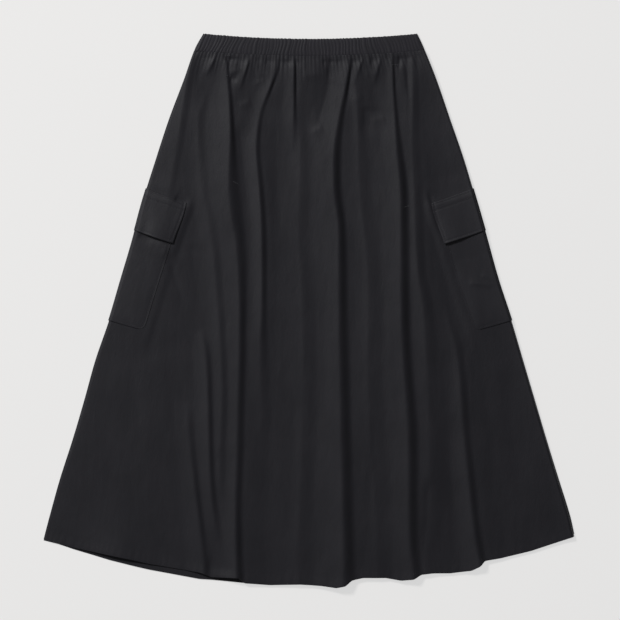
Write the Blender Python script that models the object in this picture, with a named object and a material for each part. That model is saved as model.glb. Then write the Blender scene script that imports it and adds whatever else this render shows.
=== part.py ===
"""Flared midi skirt with a gathered elastic waist and two flapped side pockets.

It lies flat on a table, front up. The back panel rests on the table and the front
panel lies on it in long folds that open towards the hem. Each pocket is sewn over
a side seam, so half of it shows on the front and half lies under the back panel.
Metres, +X to the right, +Y to the waist, +Z up from the table.
"""
import math
from collections import namedtuple

import bmesh
import bpy
from mathutils import Matrix, Vector

MM = 0.001

# Driving sizes in millimetres. "Down" is measured from the top of the waistband.
CLOTH = 1.2           # wall of the panels and pocket bags
FLAP_CLOTH = 1.6      # a flap is two layers, turned and topstitched
SEAM_GAP = 0.3        # between pieces that are sewn together or lie on each other
BAND_WALL = 2.4       # casing with its elastic
BAND_SLOT = 0.8       # between the band's front and back layers
BAND_TOP = 3.0        # down, at the sides
BAND_FOOT = 27.0      # down, at the sides, where the panels are sewn on
HEM = 772.0           # down, at the sides
FLAP_TOP = 237.0      # down, at the sides, as are the next three
BAG_TOP = 248.0
FLAP_FOOT = 303.0
BAG_FOOT = 440.0
FLAP_OVERHANG = 2.5   # flap wider than its bag on each side
FLAP_SPRING = 1.6     # how far the free edge of a flap stands off the bag
RIBS = 46             # gathers that show across the front of the waistband
RIB_HEIGHT = 0.7
BAND_BACK_COLUMNS = 20
EDGE_TURNS = (45, 0, -45)     # degrees, the points round a folded edge
WRAP_EASE = 0.4       # how much wider a pocket wraps round the side seam than its clearance

# Points across a row: even ones for the gathers at the waist, and coarser columns
# that follow the pockets' edges and the long folds below.
GATHER_COLUMNS = 3 * RIBS
GATHER_ROWS = 7
RIBS_END = 60.0       # down, where the fine gathers below the band have died out
POCKET_SHARES = (0.0, 0.1, 0.3, 0.55, 0.8, 1.0)   # columns under a pocket, as shares of it
POCKET_COLUMN = len(POCKET_SHARES) - 1
BESIDE_POCKET = 5.0   # from a bag's edge to the next column, past the flap's overhang
LIFT_FADES = 12.0     # beyond that column, where the panels come down again

Section = namedtuple("Section", "down left right bow")
SECTIONS = (
    # The rows run in arcs: bow is how much lower the middle lies than the ends.
    Section(3, -161, 166, 8),
    Section(27, -174, 177, 8),
    Section(72, -190, 195, 16),
    Section(133, -213, 216, 25),
    Section(194, -233, 237, 32),
    Section(255, -252, 255, 38),
    Section(317, -268, 272, 42),
    Section(378, -286, 289, 45),
    Section(439, -304, 309, 48),
    Section(500, -325, 327, 51),
    Section(561, -342, 345, 55),
    Section(622, -360, 363, 60),
    Section(684, -380, 381, 65),
    Section(745, -397, 399, 69),
    Section(772, -404, 405, 70),
)

HemPoint = namedtuple("HemPoint", "x front back")
HEM_LINE = (
    # Down of each panel's hem. At the left the front rides up and bares the back.
    HemPoint(-404, 773, 776),
    HemPoint(-357, 786, 790),
    HemPoint(-304, 798, 803),
    HemPoint(-242, 809, 817),
    HemPoint(-166, 822, 832),
    HemPoint(-148, 831, 835),
    HemPoint(-108, 832, 839),
    HemPoint(-99, 840, 840),
    HemPoint(-59, 843, 840),
    HemPoint(-13, 842, 840),
    HemPoint(18, 844, 840),
    HemPoint(40, 847, 839),
    HemPoint(53, 844, 837),
    HemPoint(64, 836, 833),
    HemPoint(82, 832, 829),
    HemPoint(117, 832, 826),
    HemPoint(140, 836, 824),
    HemPoint(158, 834, 822),
    HemPoint(171, 827, 820),
    HemPoint(189, 825, 818),
    HemPoint(216, 825, 815),
    HemPoint(247, 821, 809),
    HemPoint(259, 814, 806),
    HemPoint(268, 806, 803),
    HemPoint(293, 801, 797),
    HemPoint(339, 789, 785),
    HemPoint(405, 768, 765),
)
HEM_STARTS = 600.0    # rows below this bend from a plain arc towards the hem line

PocketWidth = namedtuple("PocketWidth", "down left right")
POCKET_WIDTHS = (
    # From the side seam to the bag's edge, along a row. The right bag sits a little wider.
    PocketWidth(27, 12, 12),
    PocketWidth(237, 60, 62),
    PocketWidth(303, 56, 60),
    PocketWidth(440, 53, 56),
)

Fold = namedtuple("Fold", "down x height reach fall")
LONG_FOLDS = {
    # A fold rises slowly from its left over reach and drops on its right over fall.
    # x is the middle of the drop, so this is where the photo's dark line runs.
    "side_left": (
        Fold(37, -171, 2.0, 12, 10),
        Fold(87, -180, 2.5, 16, 12),
        Fold(179, -194, 2.5, 25, 12),
        Fold(240, -204, 2.0, 25, 12),
        Fold(278, -207, 0.0, 25, 12),
    ),
    "upper_left": (
        Fold(52, -139, 0.0, 14, 4),
        Fold(90, -150, 0.0, 20, 9),
        Fold(133, -157, 2.5, 24, 11),
        Fold(240, -154, 2.5, 26, 12),
        Fold(301, -142, 3.0, 28, 12),
        Fold(424, -131, 3.5, 30, 11),
        Fold(546, -126, 3.5, 24, 10),
        Fold(669, -129, 2.0, 24, 10),
        Fold(715, -126, 0.0, 24, 10),
    ),
    "hem_far_left": (
        Fold(52, -152, 0.0, 10, 3),
        Fold(240, -171, 0.0, 20, 5),
        Fold(424, -184, 0.0, 30, 9),
        Fold(562, -180, 0.0, 40, 10),
        Fold(607, -177, 2.5, 40, 10),
        Fold(669, -171, 4.5, 40, 9),
        Fold(730, -164, 6.0, 45, 9),
        Fold(810, -154, 6.5, 50, 10),
    ),
    "hem_left": (
        Fold(52, -141, 0.0, 10, 3),
        Fold(240, -154, 0.0, 20, 8),
        Fold(424, -158, 0.0, 30, 8),
        Fold(454, -158, 0.0, 30, 9),
        Fold(485, -152, 3.0, 30, 9),
        Fold(546, -149, 4.5, 32, 8),
        Fold(669, -146, 5.0, 30, 8),
        Fold(730, -140, 4.0, 26, 9),
        Fold(806, -126, 0.0, 24, 10),
    ),
    "left_seam": (
        Fold(30, -122, 2.0, 12, 7),
        Fold(87, -117, 7.0, 18, 8),
        Fold(148, -116, 9.0, 26, 9.5),
        Fold(233, -114, 10.0, 36, 10),
        Fold(278, -105, 10.0, 42, 16),
        Fold(332, -99, 10.0, 44, 16),
        Fold(424, -99, 10.0, 42, 11),
        Fold(607, -102, 8.5, 40, 10),
        Fold(730, -105, 10.0, 46, 10),
        Fold(832, -103, 15.0, 56, 12.5),
    ),
    "left_middle": (
        Fold(30, -45, 2.0, 14, 7),
        Fold(60, -48, 4.0, 16, 7),
        Fold(87, -59, 5.0, 18, 7.5),
        Fold(133, -73, 5.0, 20, 8),
        Fold(179, -76, 5.5, 22, 8),
        Fold(240, -71, 6.0, 24, 9),
        Fold(301, -67, 6.0, 24, 9),
        Fold(424, -67, 4.5, 26, 10),
        Fold(485, -65, 3.0, 28, 14),
        Fold(640, -56, 0.0, 34, 20),
    ),
    "upper_middle": (
        Fold(30, -21, 2.0, 14, 6.5),
        Fold(64, -21, 4.5, 18, 7),
        Fold(110, -21, 4.0, 20, 7),
        Fold(171, -18, 0.0, 26, 10),
    ),
    "middle": (
        Fold(118, -5, 0.0, 45, 18),
        Fold(179, 0, 3.0, 45, 18),
        Fold(301, 0, 2.5, 50, 20),
        Fold(424, 5, 3.5, 55, 20),
        Fold(546, 8, 3.5, 60, 22),
        Fold(669, 4, 3.5, 60, 22),
        Fold(843, 2, 3.0, 60, 24),
    ),
    "right_middle": (
        Fold(30, 62, 3.0, 20, 8),
        Fold(87, 57, 7.5, 30, 9),
        Fold(133, 50, 9.5, 40, 12),
        Fold(179, 45, 10.0, 46, 11),
        Fold(240, 45, 10.0, 50, 10),
        Fold(301, 53, 10.0, 50, 10),
        Fold(424, 54, 9.5, 52, 10),
        Fold(607, 59, 11.0, 58, 12),
        Fold(730, 62, 13.0, 64, 13),
        Fold(840, 66, 16.0, 70, 14),
    ),
    "right_soft": (
        Fold(64, 79, 0.0, 20, 14),
        Fold(103, 83, 3.0, 20, 14),
        Fold(240, 91, 2.0, 26, 18),
        Fold(363, 106, 3.5, 34, 22),
        Fold(546, 109, 3.5, 36, 24),
        Fold(730, 120, 3.0, 36, 24),
        Fold(806, 122, 2.0, 36, 24),
    ),
    "right_seam": (
        Fold(30, 125, 2.0, 14, 7),
        Fold(87, 129, 5.0, 24, 8),
        Fold(133, 134, 6.5, 30, 8.5),
        Fold(179, 138, 8.5, 34, 9.5),
        Fold(240, 145, 10.5, 38, 10.5),
        Fold(424, 148, 10.5, 42, 11),
        Fold(485, 151, 10.0, 44, 11),
        Fold(546, 157, 10.5, 46, 11),
        Fold(607, 160, 11.0, 46, 12),
        Fold(730, 161, 12.0, 46, 12),
        Fold(783, 162, 13.0, 46, 12),
        Fold(829, 168, 14.0, 44, 12.5),
    ),
    "right_seam_side": (
        Fold(30, 146, 1.5, 10, 7),
        Fold(87, 151, 2.5, 12, 7),
        Fold(133, 151, 2.0, 12, 7),
        Fold(179, 146, 0.0, 12, 9),
    ),
    "right_upper": (
        Fold(30, 161, 1.5, 12, 9),
        Fold(87, 166, 3.0, 14, 10),
        Fold(179, 166, 3.5, 16, 12),
        Fold(240, 169, 4.5, 18, 13),
        Fold(363, 175, 5.5, 22, 14),
        Fold(424, 186, 5.5, 26, 16),
        Fold(546, 197, 3.5, 30, 20),
        Fold(730, 201, 3.0, 32, 22),
        Fold(806, 196, 2.0, 32, 22),
    ),
    "right_hem": (
        Fold(30, 156, 0.0, 10, 4),
        Fold(240, 169, 0.0, 10, 8),
        Fold(363, 188, 0.0, 20, 10),
        Fold(409, 208, 0.0, 30, 12),
        Fold(454, 226, 2.5, 36, 13),
        Fold(485, 233, 4.0, 40, 12),
        Fold(546, 239, 6.0, 46, 12),
        Fold(607, 243, 7.0, 50, 12),
        Fold(669, 249, 8.0, 54, 12),
        Fold(730, 255, 10.0, 58, 12),
        Fold(783, 262, 12.0, 62, 12),
        Fold(815, 268, 14.0, 64, 12.5),
    ),
}

Gather = namedtuple("Gather", "x_top x_end down_end height reach fall")
SHORT_GATHERS = (
    # Each starts at the waistband and dies out at down_end.
    Gather(-163, -168, 76, 2.2, 9, 5),
    Gather(-147, -156, 104, 3.0, 10, 5),
    Gather(-106, -114, 84, 2.4, 8, 5),
    Gather(-93, -106, 150, 3.4, 12, 5),
    Gather(-74, -80, 84, 2.2, 8, 5),
    Gather(-60, -63, 62, 1.8, 7, 4),
    Gather(-33, -36, 78, 2.4, 9, 5),
    Gather(-10, -13, 66, 1.8, 7, 4),
    Gather(1, -4, 84, 2.2, 8, 5),
    Gather(21, 8, 150, 3.4, 12, 5),
    Gather(33, 30, 110, 2.6, 9, 5),
    Gather(46, 44, 66, 1.8, 7, 4),
    Gather(82, 74, 100, 2.8, 10, 5),
    Gather(97, 92, 70, 2.0, 8, 5),
    Gather(109, 100, 150, 3.2, 12, 5),
    Gather(139, 141, 84, 2.2, 8, 5),
)

# Rows of the panels' mesh, down at the sides. The named ones carry the pockets' edges.
ROWS = (
    BAND_FOOT + SEAM_GAP, 33.0, 41.0, 52.0, 68.0, 90.0, 118.0, 150.0, 182.0, 212.0,
    FLAP_TOP, BAG_TOP, 275.0, FLAP_FOOT, 334.0, 369.0, 405.0, BAG_FOOT,
    486.0, 534.0, 582.0, 628.0, 674.0, 714.0, 748.0, HEM,
)
WAIST_RISE = 2.2      # the front panel climbs this much to reach the band's front layer
WAIST_RISE_ENDS = 64.0
SIDE_PUFF = 1.4       # soft rise of the front panel inside its side seams
SIDE_PUFF_REACH = 18.0
REST_LEVEL = 2 * CLOTH + SEAM_GAP     # top of the front panel where it lies on the back
BAG_LIFT = CLOTH + SEAM_GAP           # what a bag's back half lifts the back panel by
FLAP_LIFT = FLAP_CLOTH + SEAM_GAP

# Five columns follow each of these folds: its crest, the middle and foot of its drop,
# and one beyond on each side. The last numbers are the plain columns between them.
LED_FOLDS = (
    "hem_far_left", "hem_left", "left_seam", "left_middle",
    "right_middle", "right_seam", "right_hem",
)
FOLD_COLUMNS = (-1.3, -0.5, 0.0, 0.5, 1.1)     # places across a fold, as shares of its drop
PLAIN_COLUMNS = (1, 1, 4, 2, 7, 5, 4, 2)
LEAST_STEP = 1.6
COLUMNS = 2 * POCKET_COLUMN + 3 + len(LED_FOLDS) * len(FOLD_COLUMNS) + sum(PLAIN_COLUMNS)
LIFT_COLUMNS = 6      # past a bag's edge, where both panels come down beside a pocket
BACK_COLUMNS = 12     # what the plain middle of the back panel keeps of them


def eased(share):
    """A smooth step from 0 to 1."""
    share = min(1.0, max(0.0, share))
    return share * share * (3 - 2 * share)


def along(rows, field, down):
    """A column of a table read on a smooth curve through its rows."""
    if down <= rows[0].down:
        return getattr(rows[0], field)
    if down >= rows[-1].down:
        return getattr(rows[-1], field)
    last = len(rows) - 1
    step = 0
    while rows[step + 1].down < down:
        step += 1
    here = getattr(rows[step], field)
    ahead = getattr(rows[step + 1], field)
    span = rows[step + 1].down - rows[step].down

    def slope(place):
        low = rows[max(0, place - 1)]
        high = rows[min(last, place + 1)]
        return (getattr(high, field) - getattr(low, field)) / (high.down - low.down)

    share = (down - rows[step].down) / span
    ease = share * share * (3 - 2 * share)
    leave = slope(step) * span * share * (1 - share) ** 2
    arrive = slope(step + 1) * span * share * share * (1 - share)
    return here + (ahead - here) * ease + leave - arrive


def straight(points, key, field, at):
    """A column of a table read on straight lines between its points."""
    step = 0
    while step < len(points) - 2 and getattr(points[step + 1], key) < at:
        step += 1
    low = points[step]
    high = points[step + 1]
    span = getattr(high, key) - getattr(low, key)
    share = min(1.0, max(0.0, (at - getattr(low, key)) / span))
    return getattr(low, field) + share * (getattr(high, field) - getattr(low, field))


def arc_down(row_down, x):
    """Down of a row at x: rows are arcs across the skirt, square to its side seams."""
    left = along(SECTIONS, "left", row_down)
    right = along(SECTIONS, "right", row_down)
    across = (2 * x - left - right) / (right - left)
    return row_down + along(SECTIONS, "bow", row_down) * (1 - across * across)


def panel_down(row_down, x, panel):
    """Down of a panel's row at x, bent towards that panel's hem line near the hem."""
    down = arc_down(row_down, x)
    share = (row_down - HEM_STARTS) / (HEM - HEM_STARTS)
    if share <= 0:
        return down
    hem_shift = straight(HEM_LINE, "x", panel, x) - arc_down(HEM, x)
    return down + hem_shift * eased(share)


def ridge(offset, height, reach, fall):
    """Height of one fold at an offset from the middle of its drop."""
    from_crest = offset + fall / 2
    width = reach if from_crest < 0 else fall
    share = min(1.0, abs(from_crest) / width)
    return height * 0.5 * (1 + math.cos(math.pi * share))


def fold_height(x, down):
    """Sum of all long folds at a place on the front panel."""
    total = 0.0
    for rows in LONG_FOLDS.values():
        height = max(0.0, along(rows, "height", down))
        if height > 0:
            offset = x - along(rows, "x", down)
            total += ridge(offset, height, along(rows, "reach", down), along(rows, "fall", down))
    return total


def gather_height(x, down):
    """Sum of the short gathers that start at the waistband."""
    total = 0.0
    for gather in SHORT_GATHERS:
        share = (down - BAND_FOOT) / (gather.down_end - BAND_FOOT)
        if share < 1:
            offset = x - (gather.x_top + (gather.x_end - gather.x_top) * share)
            total += ridge(offset, gather.height * (1 - eased(share)), gather.reach, gather.fall)
    return total


def fold_place(name, row_down):
    """x of a fold's drop on a row, and how wide that drop is."""
    rows = LONG_FOLDS[name]
    x = along(rows, "x", row_down)
    x = along(rows, "x", panel_down(row_down, x, "front"))
    return x, along(rows, "fall", panel_down(row_down, x, "front"))


def between(start, end, count):
    """Evenly spaced places between two others, both left out."""
    return [start + (end - start) * (place + 1) / (count + 1) for place in range(count)]


def kept_apart(places):
    """Places in rising order, at least a step apart, with both ends where they were."""
    places = list(places)
    for place in range(1, len(places) - 1):
        places[place] = max(places[place], places[place - 1] + LEAST_STEP)
    for place in range(len(places) - 2, 0, -1):
        places[place] = min(places[place], places[place + 1] - LEAST_STEP)
    return places


def column_places(row_down):
    """x of every column on a row, from the left side seam to the right one."""
    left = along(SECTIONS, "left", row_down)
    right = along(SECTIONS, "right", row_down)
    pocket_left = along(POCKET_WIDTHS, "left", row_down)
    pocket_right = along(POCKET_WIDTHS, "right", row_down)
    middle = [left + pocket_left + BESIDE_POCKET]
    for name, count in zip(LED_FOLDS, PLAIN_COLUMNS):
        x, fall = fold_place(name, row_down)
        led = [x + share * fall for share in FOLD_COLUMNS]
        middle += between(middle[-1], led[0], count) + led
    end = right - pocket_right - BESIDE_POCKET
    middle = kept_apart(middle + between(middle[-1], end, PLAIN_COLUMNS[-1]) + [end])
    return ([left + pocket_left * share for share in POCKET_SHARES] + middle
            + [right - pocket_right * share for share in reversed(POCKET_SHARES)])


def pocket_lift(row_down, x):
    """How far a pocket's back half lifts the panels above it."""
    left = along(SECTIONS, "left", row_down) + along(POCKET_WIDTHS, "left", row_down)
    right = along(SECTIONS, "right", row_down) - along(POCKET_WIDTHS, "right", row_down)
    beyond = min(x - left, right - x) - BESIDE_POCKET
    lift = 0.0
    if BAG_TOP <= row_down <= BAG_FOOT:
        lift += BAG_LIFT
    if FLAP_TOP <= row_down <= FLAP_FOOT:
        lift += FLAP_LIFT
    return lift * (1 - eased(beyond / LIFT_FADES))


def front_point(row_down, x):
    """A point on the outside of the front panel."""
    down = panel_down(row_down, x, "front")
    left = along(SECTIONS, "left", row_down)
    right = along(SECTIONS, "right", row_down)
    from_side = min(x - left, right - x)
    rise = WAIST_RISE * (1 - eased((row_down - BAND_FOOT) / (WAIST_RISE_ENDS - BAND_FOOT)))
    puff = SIDE_PUFF * (1 - math.exp(-from_side / SIDE_PUFF_REACH))
    level = REST_LEVEL + pocket_lift(row_down, x) + rise + puff
    return Vector((x, -down, level + fold_height(x, down)))


def normals(grid):
    """The direction square to a sheet at each of its points, upwards."""
    rows = len(grid)
    columns = len(grid[0])
    directions = []
    for row in range(rows):
        above = grid[max(0, row - 1)]
        below = grid[min(rows - 1, row + 1)]
        line = []
        for column in range(columns):
            before = grid[row][max(0, column - 1)]
            after = grid[row][min(columns - 1, column + 1)]
            line.append((above[column] - below[column]).cross(before - after).normalized())
        directions.append(line)
    return directions


def moved_out(grid, directions, distance):
    """The points of a sheet moved square to it by a distance."""
    moved = []
    for line, ways in zip(grid, directions):
        moved.append([point + way * distance for point, way in zip(line, ways)])
    return moved


class Shell:
    """A closed wall built from grids of points, with every quad split the same way."""

    def __init__(self):
        self.mesh = bmesh.new()

    def grid(self, points):
        return [[self.mesh.verts.new(point * MM) for point in line] for line in points]

    def face(self, *corners):
        self.mesh.faces.new(corners)

    def sheet(self, verts, outward):
        """Faces between the rows of a grid that runs down and to the right."""
        for upper, lower in zip(verts, verts[1:]):
            for column in range(len(upper) - 1):
                corners = (upper[column], lower[column], lower[column + 1], upper[column + 1])
                if outward:
                    self.face(*corners)
                else:
                    self.face(corners[0], corners[3], corners[2], corners[1])

    def join(self, upper, lower):
        """Faces between two rows whose points stand at different places across."""
        high = 0
        low = 0
        while high < len(upper) - 1 or low < len(lower) - 1:
            at_end = high == len(upper) - 1
            if not at_end and low < len(lower) - 1:
                at_end = upper[high + 1].co.x > lower[low + 1].co.x
            if at_end:
                self.face(upper[high], lower[low], lower[low + 1])
                low += 1
            else:
                self.face(upper[high], lower[low], upper[high + 1])
                high += 1

    def strip(self, first, second):
        """Faces between two lines of equal length."""
        for place in range(len(first) - 1):
            self.face(first[place], second[place], second[place + 1], first[place + 1])

    def rim(self, outer, inner):
        """Faces that join two sheets round all four of their edges."""
        self.strip(inner[0], outer[0])
        self.strip(outer[-1], inner[-1])
        self.strip([line[0] for line in outer], [line[0] for line in inner])
        self.strip([line[-1] for line in inner], [line[-1] for line in outer])

    def finish(self, name, material):
        bmesh.ops.triangulate(self.mesh, faces=self.mesh.faces, quad_method="FIXED")
        mesh = bpy.data.meshes.new(name)
        self.mesh.to_mesh(mesh)
        self.mesh.free()
        mesh.shade_smooth()
        mesh.set_sharp_from_angle(angle=math.radians(50))
        mesh.materials.append(material)
        piece = bpy.data.objects.new(name, mesh)
        bpy.context.collection.objects.link(piece)
        return piece


def cloth_material(name, colour, roughness):
    """Woven synthetic cloth: almost black, dull, not metallic."""
    material = bpy.data.materials.new(name)
    material.use_nodes = True
    shader = material.node_tree.nodes["Principled BSDF"]
    shader.inputs["Base Color"].default_value = (*colour, 1.0)
    shader.inputs["Roughness"].default_value = roughness
    shader.inputs["Metallic"].default_value = 0.0
    return material


def front_grid(places):
    """Outside of the front panel at its long folds' columns."""
    return [[front_point(row_down, x) for x in xs] for row_down, xs in zip(ROWS, places)]


def gathered_rows(outside):
    """Finer points for the rows under the band, which gathers raise off the folds' columns."""
    grid = []
    for row in range(GATHER_ROWS):
        coarse = outside[row]
        row_down = ROWS[row]
        ribs_left = 1 - eased((row_down - BAND_FOOT) / (RIBS_END - BAND_FOOT))
        line = []
        step = 0
        for column in range(GATHER_COLUMNS + 1):
            x = coarse[0].x + (coarse[-1].x - coarse[0].x) * column / GATHER_COLUMNS
            while step < COLUMNS - 1 and coarse[step + 1].x < x:
                step += 1
            share = (x - coarse[step].x) / (coarse[step + 1].x - coarse[step].x)
            point = coarse[step].lerp(coarse[step + 1], share)
            rib = RIB_HEIGHT * ribs_left * (1 + math.cos(math.tau * column / 3))
            gather = gather_height(x, -point.y)
            line.append(point + Vector((0, 0, rib + gather)))
        grid.append(line)
    return grid


def make_front_panel(outside, material):
    """Front of the skirt: folds in both faces of the wall, fine gathers in the outer one."""
    inside = moved_out(outside, normals(outside), -CLOTH)
    shell = Shell()
    fine = shell.grid(gathered_rows(outside))
    coarse = shell.grid(outside[GATHER_ROWS:])
    inner = shell.grid(inside)
    shell.sheet(fine, True)
    shell.join(fine[-1], coarse[0])
    shell.sheet(coarse, True)
    shell.sheet(inner, False)
    shell.join(inner[0], fine[0])
    shell.strip(coarse[-1], inner[-1])
    outer = fine + coarse
    shell.strip([line[0] for line in outer], [line[0] for line in inner])
    shell.strip([line[-1] for line in inner], [line[-1] for line in outer])
    return shell.finish("front_panel", material)


def back_columns():
    """Columns of the front panel that the plainer back panel shares."""
    side = list(range(POCKET_COLUMN + LIFT_COLUMNS + 1))
    start = side[-1]
    middle = [round(place) for place in between(start, COLUMNS - start, BACK_COLUMNS)]
    return side + middle + [COLUMNS - column for column in reversed(side)]


def back_rows():
    """Rows of the front panel that the back panel shares."""
    return [row for row in range(len(ROWS)) if row not in (1, 2, 5, 7)]


def back_grid(places, columns, rows):
    """Underside of the back panel: on the table, but for where a pocket lies below it."""
    grid = []
    for row in rows:
        line = []
        for column in columns:
            x = places[row][column]
            down = panel_down(ROWS[row], x, "back")
            line.append(Vector((x, -down, pocket_lift(ROWS[row], x))))
        grid.append(line)
    return grid


def make_back_panel(underside, material):
    """Back of the skirt, flat on the table."""
    upside = [[point + Vector((0, 0, CLOTH)) for point in line] for line in underside]
    shell = Shell()
    outer = shell.grid(upside)
    inner = shell.grid(underside)
    shell.sheet(outer, True)
    shell.sheet(inner, False)
    shell.rim(outer, inner)
    return shell.finish("back_panel", material)


def band_loop(row_down, outset):
    """One turn round the flattened waistband, at a distance out from its middle line."""
    left = along(SECTIONS, "left", row_down)
    right = along(SECTIONS, "right", row_down)
    middle_radius = (BAND_WALL + BAND_SLOT) / 2
    level = BAND_WALL + BAND_SLOT / 2
    outer_radius = middle_radius + BAND_WALL / 2
    loop = []
    start = left + outer_radius
    end = right - outer_radius
    for column in range(GATHER_COLUMNS + 1):
        x = start + (end - start) * column / GATHER_COLUMNS
        loop.append((x, level + middle_radius + outset, "front", column))
    radius = middle_radius + outset
    for angle in EDGE_TURNS:
        turn = math.radians(angle)
        loop.append((end + radius * math.cos(turn), level + radius * math.sin(turn), "side", 0))
    for column in range(BAND_BACK_COLUMNS + 1):
        x = end + (start - end) * column / BAND_BACK_COLUMNS
        loop.append((x, level - middle_radius - outset, "back", column))
    for angle in reversed(EDGE_TURNS):
        turn = math.radians(angle)
        loop.append((start - radius * math.cos(turn), level + radius * math.sin(turn), "side", 0))
    return loop


def make_waistband(material):
    """Elastic casing: a flattened ring, ribbed on its front, plain inside and underneath."""
    half = BAND_WALL / 2
    height = BAND_FOOT - BAND_TOP
    profile = (
        # Share of the height, how far out from the middle line, and share of a rib.
        (0.0, half * 0.45, 0.5),
        (0.2, half, 1.0),
        (0.8, half, 1.0),
        (1.0, half * 0.6, 0.7),
        (1.0, -half, 0.0),
        (0.0, -half, 0.0),
    )
    rings = []
    for share, outset, rib_share in profile:
        row_down = BAND_TOP + height * share
        ring = []
        for x, level, side, column in band_loop(row_down, outset):
            if side == "front":
                level += RIB_HEIGHT * rib_share * math.cos(math.tau * column / 3)
            if side == "back" and outset > 0:
                level = max(0.0, level)
            ring.append(Vector((x, -arc_down(row_down, x), level)))
        rings.append(ring)
    shell = Shell()
    verts = shell.grid(rings)
    closed = [ring + ring[:1] for ring in verts]
    for first, second in zip(closed, closed[1:] + closed[:1]):
        for place in range(len(first) - 1):
            shell.face(first[place], second[place], second[place + 1], first[place + 1])
    return shell.finish("waistband", material)


def wrap_points(top, bottom, outward, clear):
    """Points that carry a pocket's wall round the side seam."""
    centre = (top + bottom) / 2
    rise = (top.z - bottom.z) / 2 + clear
    bulge = clear + WRAP_EASE
    points = []
    for angle in EDGE_TURNS:
        turn = math.radians(angle)
        points.append(centre + outward * bulge * math.cos(turn)
                      + Vector((0, 0, rise * math.sin(turn))))
    return points


def pocket_grid(side, rows, front, front_ways, back, clear_front, clear_back, overhang):
    """One face of a pocket piece: over the front, round the seam and under the back."""
    grid = []
    for place, row in enumerate(rows):
        line = front[row]
        ways = front_ways[row]
        under = back[row]
        if side == "right":
            line, ways, under = line[::-1], ways[::-1], under[::-1]
        last = POCKET_COLUMN
        over = [line[column] + ways[column] * clear_front[place] for column in range(last + 1)]
        below = [under[column] - Vector((0, 0, clear_back[place])) for column in range(last + 1)]
        if overhang > 0:
            share = overhang / (line[last + 1] - line[last]).length
            edge = line[last].lerp(line[last + 1], share)
            over.append(edge + ways[last] * clear_front[place])
            way_in = (under[last + 1] - under[last]).normalized()
            way_in.z = 0
            below.append(below[-1] + way_in * overhang)
        above = front[max(0, row - 1)][0 if side == "left" else -1]
        foot = front[min(len(front) - 1, row + 1)][0 if side == "left" else -1]
        seam_way = foot - above
        outward = Vector((seam_way.y, -seam_way.x, 0)).normalized()
        if side == "right":
            outward = -outward
        wrap = wrap_points(line[0], under[0], outward, clear_front[place])
        grid.append(over[::-1] + wrap + below)
    return grid


def make_pocket_piece(name, side, outer, inner, material):
    """A wall between two faces that wrap round the side seam."""
    if side == "left":
        outer = [line[::-1] for line in outer]
        inner = [line[::-1] for line in inner]
    shell = Shell()
    out_verts = shell.grid(outer)
    in_verts = shell.grid(inner)
    shell.sheet(out_verts, True)
    shell.sheet(in_verts, False)
    shell.rim(out_verts, in_verts)
    return shell.finish(name, material)


def flap_spring(row_down):
    """How far a flap stands off its bag, most at the free edge."""
    return FLAP_SPRING * ((row_down - FLAP_TOP) / (FLAP_FOOT - FLAP_TOP)) ** 3


def rows_between(top, foot):
    return [row for row, row_down in enumerate(ROWS) if top <= row_down <= foot]


def centre_on_table(pieces):
    """Move the skirt so that its origin is under the middle of it, on the table."""
    corners = [vertex.co for piece in pieces for vertex in piece.data.vertices]
    x_middle = (min(c.x for c in corners) + max(c.x for c in corners)) / 2
    y_middle = (min(c.y for c in corners) + max(c.y for c in corners)) / 2
    for piece in pieces:
        piece.data.transform(Matrix.Translation((-x_middle, -y_middle, 0)))


def main():
    for item in list(bpy.data.objects):
        bpy.data.objects.remove(item, do_unlink=True)
    panel_cloth = cloth_material("woven_black_panel", (0.018, 0.018, 0.021), 0.6)
    band_cloth = cloth_material("gathered_black_band", (0.016, 0.016, 0.019), 0.65)
    pocket_cloth = cloth_material("woven_black_pocket", (0.020, 0.020, 0.023), 0.6)

    places = [column_places(row_down) for row_down in ROWS]
    front = front_grid(places)
    ways = normals(front)
    pieces = [
        make_waistband(band_cloth),
        make_front_panel(front, panel_cloth),
        make_back_panel(back_grid(places, back_columns(), back_rows()), panel_cloth),
    ]
    back = back_grid(places, range(COLUMNS + 1), range(len(ROWS)))
    bag_rows = rows_between(BAG_TOP, BAG_FOOT)
    flap_rows = rows_between(FLAP_TOP, FLAP_FOOT)
    for side in ("left", "right"):
        near = [SEAM_GAP] * len(bag_rows)
        far = [SEAM_GAP + CLOTH] * len(bag_rows)
        inner = pocket_grid(side, bag_rows, front, ways, back, near, near, 0.0)
        outer = pocket_grid(side, bag_rows, front, ways, back, far, far, 0.0)
        pieces.append(make_pocket_piece("pocket_" + side, side, outer, inner, pocket_cloth))
        over_bag = BAG_LIFT + SEAM_GAP
        near = [over_bag if ROWS[row] >= BAG_TOP else SEAM_GAP for row in flap_rows]
        far = [clear + FLAP_CLOTH for clear in near]
        spring = [flap_spring(ROWS[row]) for row in flap_rows]
        near_front = [clear + off for clear, off in zip(near, spring)]
        far_front = [clear + off for clear, off in zip(far, spring)]
        inner = pocket_grid(side, flap_rows, front, ways, back, near_front, near, FLAP_OVERHANG)
        outer = pocket_grid(side, flap_rows, front, ways, back, far_front, far, FLAP_OVERHANG)
        pieces.append(make_pocket_piece("flap_" + side, side, outer, inner, pocket_cloth))
    centre_on_table(pieces)


main()
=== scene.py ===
# %% [markdown]
# # A flared skirt laid flat
#
# The real skirt is seven pieces of thin black synthetic cloth and one strip of elastic.
# It lies on a pale surface with its front up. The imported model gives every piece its
# size and place. This lesson lays finer cloth over those solids, sews it, and lights it.

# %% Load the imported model
import math
import random
from collections import namedtuple

import bmesh
import bpy
import numpy as np
from mathutils import Matrix, Vector, noise


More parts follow.
